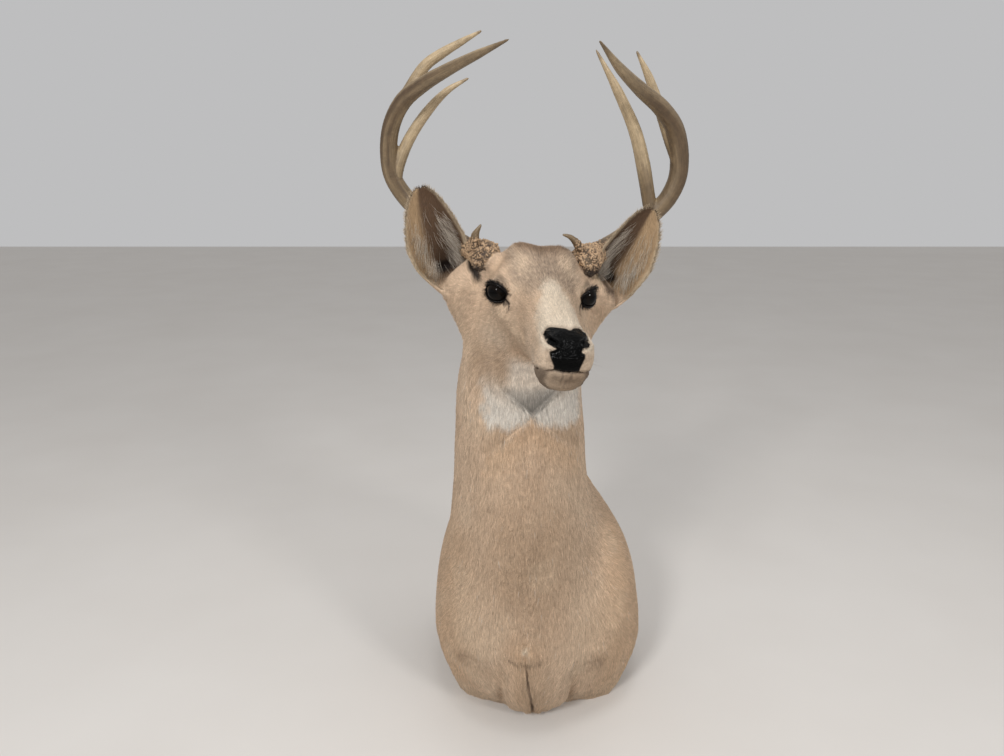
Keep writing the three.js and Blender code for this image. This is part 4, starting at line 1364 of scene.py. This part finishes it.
def rod_piece(name, stations):
    """A tapering round rod with closed ends along stations."""
    points, radii, sides, ups = centre_line(stations)
    angles = np.linspace(0, 2 * np.pi, ROD_SIDES, endpoint=False)[None, :, None]
    spread = np.cos(angles) * sides[:, None, :] + np.sin(angles) * ups[:, None, :]
    rings = points[:, None, :] + radii[:, None, None] * spread
    hubs = np.stack([points[0], points[-1] + 0.8 * (points[-1] - points[-2])])
    faces = ring_faces(len(points), ROD_SIDES)
    rod = new_piece(name, np.vstack([rings.reshape(-1, 3), hubs]) * MM, faces)
    cap_ends(rod, len(points), ROD_SIDES)
    return rod


def round_antler(points, rods):
    """Where points lie on an antler, by the nearest of its rods: which rod, millimetres from its
    root, its length, and the way out from its middle."""
    nearest = np.full(len(points), 1e9)
    which = np.zeros(len(points), int)
    run = np.zeros(len(points))
    share = np.zeros(len(points))
    ways = np.zeros((len(points), 2))
    for number, (middles, radii, sides, ups) in enumerate(rods):
        passed = np.concatenate([[0], np.cumsum(np.linalg.norm(np.diff(middles, axis=0), axis=1))])
        for part in np.array_split(np.arange(len(points)), max(1, len(points) // 20000)):
            gaps = np.linalg.norm(points[part, None, :] - middles[None, :, :], axis=2) - radii
            at = gaps.argmin(axis=1)
            gap = gaps[np.arange(len(part)), at]
            closer = gap < nearest[part]
            chosen, at = part[closer], at[closer]
            nearest[chosen] = gap[closer]
            which[chosen] = number
            out = points[chosen] - middles[at]
            run[chosen] = passed[at] + (out * np.cross(sides[at], ups[at])).sum(axis=1)
            share[chosen] = run[chosen] / passed[-1]
            ways[chosen] = np.stack([(out * sides[at]).sum(axis=1), (out * ups[at]).sum(axis=1)], axis=1)
    return which, run, share, ways


def pearl_heights(points, zone, seed):
    """Rounded pearls scattered over a zone of the antler: their height at points, from 0 to 1."""
    draw = np.random.default_rng(seed)
    inside = np.flatnonzero(zone > 0.12)
    seats = draw.choice(inside, len(inside) // 12, replace=False)
    seats = seats[draw.random(len(seats)) < 0.25 + 0.75 * zone[seats]]
    tree = KDTree(len(seats))
    for number, seat in enumerate(seats):
        tree.insert(points[seat], number)
    tree.balance()
    sizes = draw.uniform(0.7, 1.8, len(seats)) ** 1.2
    steep = draw.uniform(0.5, 1.5, len(seats))
    heights = np.zeros(len(points))
    for number in inside:
        _, seat, gap = tree.find(points[number])
        heights[number] = max(0.0, 1 - (gap / sizes[seat]) ** 2) * sizes[seat] * steep[seat] / 2
    return heights


def near_burr(points, burr, brow):
    """Where an antler's faces are halved: round its burr and on its brow tine."""
    return (np.linalg.norm(points - burr, axis=1) < 42) | (near_line(points, brow)[0] < 11)


def shape_antler(piece, rods, seed):
    """Presses grooves along the beam, raises pearls near its burr, and paints the bone, with painted light on
    the upper sides and painted shade under the burr.
    """
    settings = bpy.context.scene.buck_antlers
    mesh = piece.data
    relax(mesh, 6)
    burr_middle = rods[0][0][ROD_STEPS]
    brow = rods[1][0]
    refine(piece, lambda places: near_burr(places, burr_middle, brow))
    points = relax(mesh, 2)
    normals = read_normals(mesh)
    places = points / MM
    which, run, share, ways = round_antler(places, rods)
    on_beam = which == 0
    along = np.stack([ways[:, 0], ways[:, 1], run * 0.06], axis=1)
    broad = ripple(along, 9, seed)
    fine = ripple(along * (1, 1, 1.5), 2.8, seed + 1)
    tip = rise(share, 0.72, 0.97)
    grooves = (0.55 * rise(-broad, 0.1, 1.2) + 0.3 * rise(-fine, 0.2, 1.2)) * (1 - tip)
    pearled = np.where(on_beam, rise(run, PEARLED, 20), 0.7 * (which == 1) * rise(share, 0.95, 0.3))
    pearls = pearl_heights(places, pearled, seed + 2)
    burr = np.where(on_beam, bell(run, 13, 7), 0)
    knobs = rise(ripple(places, 7, seed + 3), -0.6, 1.2)
    height = pearls * 2.0 * np.maximum(pearled, burr) - settings.groove_depth / MM * grooves
    height += burr * (1.8 * knobs - 1.0)
    height += 0.12 * ripple(places, 2.2, seed + 4) * (1 - tip)
    write_points(mesh, points + normals * (height * MM)[:, None])
    bone, dark, pale = map(np.array, (settings.bone, settings.dark_bone, settings.pale_bone))
    paint = Paint(len(points), bone)
    paint.over(dark, 0.75 * rise(ripple(along, 26, seed + 5), -0.9, 1.0) * on_beam)
    # painted light: the upper sides of the beams and of the second and third tines are paler, as if lit from
    # above
    paint.over(pale, 0.3 * rise(normals[:, 2], 0.1, 0.8) * (which != 1))
    paint.over(pale, np.where(which > 1, 0.6, 0) * rise(share, 0.1, 0.4))
    paint.over(pale, np.where(on_beam, 0.16, 0.3) * rise(broad, -0.2, 1.4))
    paint.over(dark, np.where(on_beam, 0.7, 0.4) * rise(grooves, 0.12, 0.6))
    paint.over(pale, 0.22 * rise(share, 0.66, 0.98) * (which != 1))
    paint.over(dark, 0.55 * rise(share, 0.94, 0.985) * (which != 1))
    paint.over(dark, 0.6 * (which == 1) * rise(share, 1, 0.5))
    paint.over(CREVICE_AND_SHADE, rise(pearled, 0.05, 0.6) * 0.6)
    paint.over(PEARL, rise(pearled, 0.05, 0.4) * rise(pearls, 0.08, 0.55) * 0.9)
    paint.over(CREVICE_AND_SHADE, burr * rise(knobs + pearls, 0.7, 0.1) * 0.6)
    paint.over(CREVICE_AND_SHADE, 0.5 * rise(ripple(places, 9, seed + 6), 0.1, 1.2) * rise(pearled, 0.3, 0.8))
    # painted shade under the burr, on its lower side where it overhangs the gap by the ear
    below = rise(places[:, 2], burr_middle[2] - 2, burr_middle[2] - 13)
    paint.over(CREVICE_AND_SHADE * 0.4, 0.9 * below * rise(pearled, 0.3, 0.8))
    write_colours(mesh, "Markings", paint.colours)
    write_values(mesh, "Polish", (0.5 + 0.5 * tip) * (1 - 0.8 * pearled))
    mesh.attributes.new(name="Grain", type="FLOAT_VECTOR", domain="POINT")
    mesh.attributes["Grain"].data.foreach_set("vector", along.astype(np.float32).ravel())


# ------------------------------------------------------------------------------ finishes
PALE_WOOD = tone("bf9a6c")
DARK_WOOD = tone("a47d50")
FLOOR_SHADE = tone("d3cec8")
FLOOR_LIGHT = tone("dcd8d3")


def skin_finish():
    """Haired skin under the coat, and the black pebbled skin of the nose and lids."""
    finish = Finish("skin", Specular_IOR_Level=0.06)
    bare = finish.attribute("Bare", out="Fac")
    colour = finish.attribute("Markings")
    streaks = finish.noise(900, detail=2, vector=finish.stretched(1, 1, 0.18))
    haired = finish.shaded(0.85, colour, finish.between(streaks, 0.3, 0.7, 0.62, 1.08))
    finish.feed("Base Color", finish.blend(bare, haired, colour))
    pebbles = finish.node(
        "ShaderNodeTexVoronoi",
        {"feature": "SMOOTH_F1"},
        {"Vector": finish.place(), "Scale": 520, "Smoothness": 0.35},
    )
    damp = finish.noise(260, detail=2)
    finish.feed("Roughness", 0.82 - bare * (0.66 + 0.1 * damp))
    hair_relief = finish.bump(streaks * (1 - bare), 0.0006, 0.5)
    finish.feed("Normal", finish.bump(bare * (0.9 - pebbles), 0.0006, 0.7, under=hair_relief))
    return finish.material


def coat_finish():
    """Dry short hair, coloured tuft by tuft."""
    finish = Finish("coat", Specular_IOR_Level=0.3)
    colour = finish.attribute("Markings")
    flecks = finish.noise(700, detail=2)
    finish.feed("Base Color", finish.shaded(1.0, colour, finish.between(flecks, 0.2, 0.8, 0.86, 1.1)))
    finish.feed("Roughness", 0.6 + 0.15 * flecks)
    return finish.material


def antler_finish():
    """Bone with fine dark pores, polished towards the tips."""
    finish = Finish("antler_bone", Specular_IOR_Level=0.5)
    colour = finish.attribute("Markings")
    polish = finish.attribute("Polish", out="Fac")
    pores = finish.noise(0.8, detail=4, vector=finish.attribute("Grain", out="Vector"))
    stains = finish.noise(120, detail=4)
    shade = finish.between(pores, 0.35, 0.65, 0.78, 1.1) * finish.between(stains, 0.3, 0.7, 0.82, 1.12)
    finish.feed("Base Color", finish.shaded(1.0, colour, shade))
    finish.feed("Roughness", 0.62 - 0.3 * polish + 0.15 * pores)
    finish.feed("Normal", finish.bump(pores, 0.0004, 0.4))
    return finish.material


def eye_finish():
    """A dark glass eye: near-black round a brown iris with a long level pupil, smooth and glossy."""
    finish = Finish("eye_glass", Roughness=0.03, Specular_IOR_Level=0.1)
    iris = finish.attribute("Iris")
    threads = finish.noise(1400, detail=3)
    finish.feed("Base Color", finish.shaded(0.6, iris, finish.between(threads, 0.3, 0.7, 0.5, 1.3)))
    return finish.material


def board_finish():
    """Plain sanded softwood with straight upright grain."""
    finish = Finish("board_wood", Specular_IOR_Level=0.3)
    grain = finish.noise(55, detail=6, vector=finish.stretched(1, 1, 0.05), rough=0.6)
    bands = {"Scale": 16, "Distortion": 9, "Detail": 4, "Detail Scale": 1.5}
    rings = finish.node(
        "ShaderNodeTexWave",
        {"wave_type": "BANDS", "bands_direction": "X"},
        {"Vector": finish.stretched(1, 1, 0.04), **bands},
    )
    pattern = finish.between(0.75 * grain + 0.25 * rings, 0.25, 0.75)
    finish.feed("Base Color", finish.blend(pattern, opaque(PALE_WOOD), opaque(DARK_WOOD)))
    finish.feed("Roughness", 0.68 + 0.15 * grain)
    finish.feed("Normal", finish.bump(pattern, 0.0006, 0.4))
    return finish.material


def floor_finish():
    """A plain pale studio floor."""
    finish = Finish("studio_floor", Specular_IOR_Level=0.25)
    mottle = finish.noise(3, detail=3)
    finish.feed("Base Color", finish.blend(mottle, opaque(FLOOR_SHADE), opaque(FLOOR_LIGHT)))
    finish.feed("Roughness", 0.75 + 0.1 * mottle)
    return finish.material


# ------------------------------------------------------------------------------ eyes
PUPIL = tone("050404")
PUPIL_SIZE = (22, 12)  # half its length and height, in degrees of the ball
CORNEA = 0.9  # how far the clear front stands out, in millimetres


def glass_eye(name, side):
    """A glass eye: a ball with a raised clear front, and a long level pupil in a dark iris."""
    centre, gaze, front, up = eye_axes(side)
    choose_none()
    bpy.ops.mesh.primitive_uv_sphere_add(segments=72, ring_count=48, radius=1)
    eye = bpy.context.active_object
    eye.name = eye.data.name = name
    ways = unit(read_points(eye.data))
    turned = ways @ np.stack([front, up, gaze])  # the ball's +Z is where the eye looks
    out = np.degrees(np.arccos(np.clip(ways[:, 2], -1, 1)))
    reach = EYE_BALL - 0.25 + CORNEA * rise(out, 46, 18)
    write_points(eye.data, from_head(centre + turned * reach[:, None]))
    mend(eye)
    settings = bpy.context.scene.buck_eyes
    paint = Paint(len(ways), np.array(settings.iris))
    along, above = np.degrees(ways[:, 0]), np.degrees(ways[:, 1])
    pupil = np.hypot(along / PUPIL_SIZE[0], above / PUPIL_SIZE[1])
    paint.over(PUPIL, rise(pupil, 1.25, 0.9))
    paint.over(PUPIL, rise(out, 34, 46))
    write_colours(eye.data, "Iris", paint.colours)
    shade_smooth(eye)
    return eye


# ------------------------------------------------------------------------------ settings
def size_property(name, description, default):
    return FloatProperty(name=name, description=description, default=default, min=0, unit="LENGTH")


def count_property(name, description, default):
    return IntProperty(name=name, description=description, default=default, min=2)


def colour_property(name, description, code):
    default = tuple(float(part) for part in tone(code))
    return FloatVectorProperty(
        name=name, description=description, default=default, size=3, subtype="COLOR", min=0, max=1
    )


class BuckCoatSettings(bpy.types.PropertyGroup):
    body_depth: size_property("Body coat depth", "How far the skin lies under the neck's hair tips", 0.003)
    face_depth: size_property("Face coat depth", "How far the skin lies under the face's hair tips", 0.0016)
    body_hair: size_property("Body hair", "Length of a tuft on the neck and chest", 0.011)
    face_hair: size_property("Face hair", "Length of a tuft on the head", 0.0058)
    ear_hair: size_property("Ear hair", "Length of a tuft on the ears", 0.006)
    body_density: FloatProperty(
        name="Body density",
        description="How closely tufts stand on the body, as a share of the head's",
        default=0.42,
        min=0,
        max=1,
    )
    tufts: count_property("Tufts", "How many tufts the whole coat has", 350000)
    ear_strands: count_property("Ear hairs", "How many long hairs each ear has", 1300)


class BuckAntlerSettings(bpy.types.PropertyGroup):
    bone: colour_property("Bone", "Main colour of the beams and tines", "77644a")
    dark_bone: colour_property("Dark bone", "Colour of the grooves and stains", "4e3b27")
    # Pale bone is also the colour of the painted light on the upper sides of the beams and tines.
    pale_bone: colour_property("Pale bone", "Colour of the worn tines and tips", "c2ac8a")
    groove_depth: size_property("Groove depth", "Depth of the grooves along the beams", 0.0005)


class BuckEyeSettings(bpy.types.PropertyGroup):
    iris: colour_property("Iris", "Colour of the iris of the glass eyes", "0e0906")


class BuckStageSettings(bpy.types.PropertyGroup):
    light: FloatProperty(name="Light", description="Strength of the lamps", default=1.0, min=0)
    world: colour_property("Room", "Colour of the light from all round", "dcdcdd")


# ------------------------------------------------------------------------------ operators
class BUCK_OT_skin(bpy.types.Operator):
    """Builds one skin over the head, neck, chest and ears, with lids, nose and mouth"""

    bl_idname = "buck.skin"
    bl_label = "Skin"

    def execute(self, context):
        parts = [grown_copy(name, BRIDGED_CUT) for name in FLESH]
        parts += [ear_shell(name) for name in EARS]
        for side in (-1, 1):
            choose_none()
            centre = from_head(np.array(EYE_CENTRE) * (side, 1, 1))
            bpy.ops.mesh.primitive_ico_sphere_add(subdivisions=4, radius=EYE_FILLING, location=centre)
            filling = context.active_object
            bpy.ops.object.transform_apply()
            parts.append(filling)
        skin = join(parts)
        skin.name = skin.data.name = "skin"
        remesh(skin, SKIN_CELL)
        mesh = skin.data
        points = read_points(mesh)
        on_head, ear = head_share(points), ear_share(points)
        places = in_head(points)
        chin = rise(places[:, 1], 95, 110) * rise(places[:, 2], -26, -34)
        rounds = (50 - 30 * on_head * rise(places[:, 1], -60, -20) * (1 - chin)) * (1 - ear) + 4 * ear
        points = relax(mesh, rounds.round())
        ways = offset_ways(points, read_normals(mesh))
        write_points(mesh, points - ways * skin_depth(points)[:, None])
        refine(skin, fine_places)
        points = relax(mesh, np.where(fine_places(read_points(mesh) / MM), 4, 0))
        points = sculpt_head(points, read_normals(mesh))
        write_points(mesh, points)
        points = sculpt_chest(points, read_normals(mesh))
        points[:, 2] = np.maximum(points[:, 2], FLOOR + CLEARANCE)
        points[:, 1] = np.minimum(points[:, 1], BOARD_FACE - CLEARANCE)
        write_points(mesh, points)
        thin_body(skin, SKIN_TRIANGLES)
        join([skin, lid_rim(-1), lid_rim(1)])
        points = read_points(skin.data)
        write_colours(skin.data, "Markings", markings(points))
        write_values(skin.data, "Bare", bare_share(points))
        shade_smooth(skin)
        finish_piece(skin, skin_finish(), "hide", *FLESH, "ear_left", "ear_right")
        return {"FINISHED"}


class BUCK_OT_eyes(bpy.types.Operator):
    """Sets the two glass eyes behind the lids"""

    bl_idname = "buck.eyes"
    bl_label = "Eyes"

    def execute(self, context):
        finish = eye_finish()
        for name, side in (("right", -1), ("left", 1)):
            eye = glass_eye("glass_eye_" + name, side)
            finish_piece(eye, finish, "eye_glass", "eye_" + name)
        return {"FINISHED"}


class BUCK_OT_antlers(bpy.types.Operator):
    """Builds the two antlers, grooved and pearled, with burrs and polished tips"""

    bl_idname = "buck.antlers"
    bl_label = "Antlers"

    def execute(self, context):
        finish = antler_finish()
        for seed, (name, lines) in enumerate(ANTLERS.items()):
            antler = join([rod_piece(name + "_" + part, line) for part, line in lines.items()])
            antler.name = antler.data.name = name
            remesh(antler, ANTLER_CELL)
            rods = [centre_line(line) for line in lines.values()]
            shape_antler(antler, rods, 100 + 10 * seed)
            shade_smooth(antler)
            nodes = [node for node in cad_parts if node.startswith(name)]
            finish_piece(antler, finish, "antler", *nodes)
        return {"FINISHED"}


class BUCK_OT_coat(bpy.types.Operator):
    """Lays the coat: short tufts over the skin, and long hairs in the ears and on the lips"""

    bl_idname = "buck.coat"
    bl_label = "Coat"

    def execute(self, context):
        settings = context.scene.buck_coat
        skin = bpy.data.objects["skin"]
        finish = coat_finish()
        draw = np.random.default_rng(17)
        roots, normals = scatter(skin, settings.tufts)
        count = len(roots)
        ways = hair_ways(roots, normals)
        ways = flatten(ways + draw.normal(0, 0.06, (count, 3)), normals)
        lengths, widths = hair_sizes(roots)
        lengths = lengths * draw.uniform(0.7, 1.15, count)
        widths = widths * draw.uniform(0.75, 1.25, count)
        lifts = (skin_depth(roots) * 0.5 + 0.0003) * draw.uniform(0.2, 1.2, count)
        shade = 1 + 0.03 * ripple(roots / MM, 12, 51) + 0.09 * ripple(roots / MM * (1, 1, 0.55), 3.0, 52, 24)
        speckle = 0.14 + 0.1 * brow_share(in_head(roots)) * head_share(roots)
        colours = markings(roots) * (shade * draw.normal(1, speckle))[:, None]
        stray = (draw.random(count) < 0.0025) & (head_share(roots) < 0.1) & (ear_share(roots) < 0.1)
        colours[stray] += 0.6 * (WHITE - colours[stray])
        lengths[stray] *= 1.3
        widths[stray] *= 1.5
        for name, (mask, unwrapped) in coat_regions(roots).items():
            if mask.sum() >= MOST_TUFTS:
                raise RuntimeError(name + " has too many tufts: " + str(mask.sum()))
            chosen = [values[mask] for values in (roots, normals, ways, lengths, widths, lifts, colours)]
            slot = "ear_hide" if "ear" in name else "hide"
            finish_piece(tuft_piece(name, *chosen, unwrapped), finish, slot)
        for seed, (name, ear) in enumerate(EARS.items()):
            hairs = ear_hair(name.replace("ear", "ear_hair"), ear, settings.ear_strands, 70 + seed)
            finish_piece(hairs, finish, "ear_hide")
        finish_piece(whiskers(36), finish, "hide")
        return {"FINISHED"}


class BUCK_OT_backboard(bpy.types.Operator):
    """Gives the backboard its wood"""

    bl_idname = "buck.backboard"
    bl_label = "Backboard"

    def execute(self, context):
        board = bpy.data.objects["backboard"]
        finish = board_finish()
        if not board.material_slots:
            raise RuntimeError("the backboard has no material slot")
        for slot in board.material_slots:
            slot.material = finish
        return {"FINISHED"}


# The lamps: name, place, size and watts.
LAMPS = (
    ("front_left", (-0.9, -2.2, 1.6), 0.42, 34),
    ("front_right", (1.4, -2.0, 1.3), 0.4, 16),
    ("overhead", (0.1, -0.6, 2.2), 0.6, 9),
)
LIT_PLACE = (0, -0.1, 0.2)  # where the lamps point
ROOM_LIGHT = 0.72
FLOOR_SIZE = 14
CAMERA_PLACE = (-0.0567, -1.177, 0.5937)
CAMERA_DIP = 15.6  # degrees below level
CAMERA_LENS = 26.53


class BUCK_OT_studio(bpy.types.Operator):
    """Lays the pale floor, hangs the lamps and sets the camera"""

    bl_idname = "buck.studio"
    bl_label = "Studio"

    def execute(self, context):
        settings = context.scene.buck_stage
        choose_none()
        bpy.ops.mesh.primitive_plane_add(size=FLOOR_SIZE, location=(0, 0, 0))
        floor = context.active_object
        floor.name = "studio_floor"
        write_points(floor.data, read_points(floor.data) + (0, 0, FLOOR - 0.0001))
        floor.data.materials.append(floor_finish())
        world = bpy.data.worlds.new("studio")
        world.use_nodes = True
        sky = world.node_tree.nodes["Background"]
        sky.inputs["Color"].default_value = opaque(settings.world)
        sky.inputs["Strength"].default_value = ROOM_LIGHT * settings.light
        context.scene.world = world
        context.scene.view_settings.view_transform = "Standard"
        for name, place, size, power in LAMPS:
            lamp = bpy.data.lights.new(name, "AREA")
            lamp.shape = "SQUARE"
            lamp.size = size
            lamp.energy = power * settings.light
            holder = bpy.data.objects.new(name, lamp)
            context.scene.collection.objects.link(holder)
            holder.location = place
            way = Vector(LIT_PLACE) - Vector(place)
            holder.rotation_euler = way.to_track_quat("-Z", "Y").to_euler()
        camera = bpy.data.cameras.new("camera")
        camera.sensor_width = 36
        camera.lens = CAMERA_LENS
        camera.clip_start = 0.01
        stand = bpy.data.objects.new("camera", camera)
        context.scene.collection.objects.link(stand)
        stand.location = CAMERA_PLACE
        stand.rotation_euler = (radians(90 - CAMERA_DIP), 0, 0)
        context.scene.camera = stand
        return {"FINISHED"}


class BUCK_PT_panel(bpy.types.Panel):
    """Lists the pieces of the mount"""

    bl_label = "Buck Mount"
    bl_idname = "BUCK_PT_panel"
    bl_space_type = "VIEW_3D"
    bl_region_type = "UI"
    bl_category = "Buck Mount"

    def draw(self, context):
        for piece in PIECES:
            self.layout.operator(piece.bl_idname)
        for group in GROUPS:
            for name in GROUPS[group].__annotations__:
                self.layout.prop(getattr(context.scene, group), name)


PIECES = (BUCK_OT_skin, BUCK_OT_eyes, BUCK_OT_antlers, BUCK_OT_coat, BUCK_OT_backboard, BUCK_OT_studio)
GROUPS = {
    "buck_coat": BuckCoatSettings,
    "buck_antlers": BuckAntlerSettings,
    "buck_eyes": BuckEyeSettings,
    "buck_stage": BuckStageSettings,
}


def register():
    for kind in (*GROUPS.values(), *PIECES, BUCK_PT_panel):
        bpy.utils.register_class(kind)
    for name, kind in GROUPS.items():
        setattr(bpy.types.Scene, name, PointerProperty(type=kind))


def unregister():
    for name in GROUPS:
        delattr(bpy.types.Scene, name)
    for kind in (BUCK_PT_panel, *PIECES, *GROUPS.values()):
        bpy.utils.unregister_class(kind)


def main():
    register()
    bpy.ops.buck.skin()
    bpy.ops.buck.eyes()
    bpy.ops.buck.antlers()
    bpy.ops.buck.coat()
    bpy.ops.buck.backboard()
    bpy.ops.buck.studio()


if __name__ == "__main__":
    main()
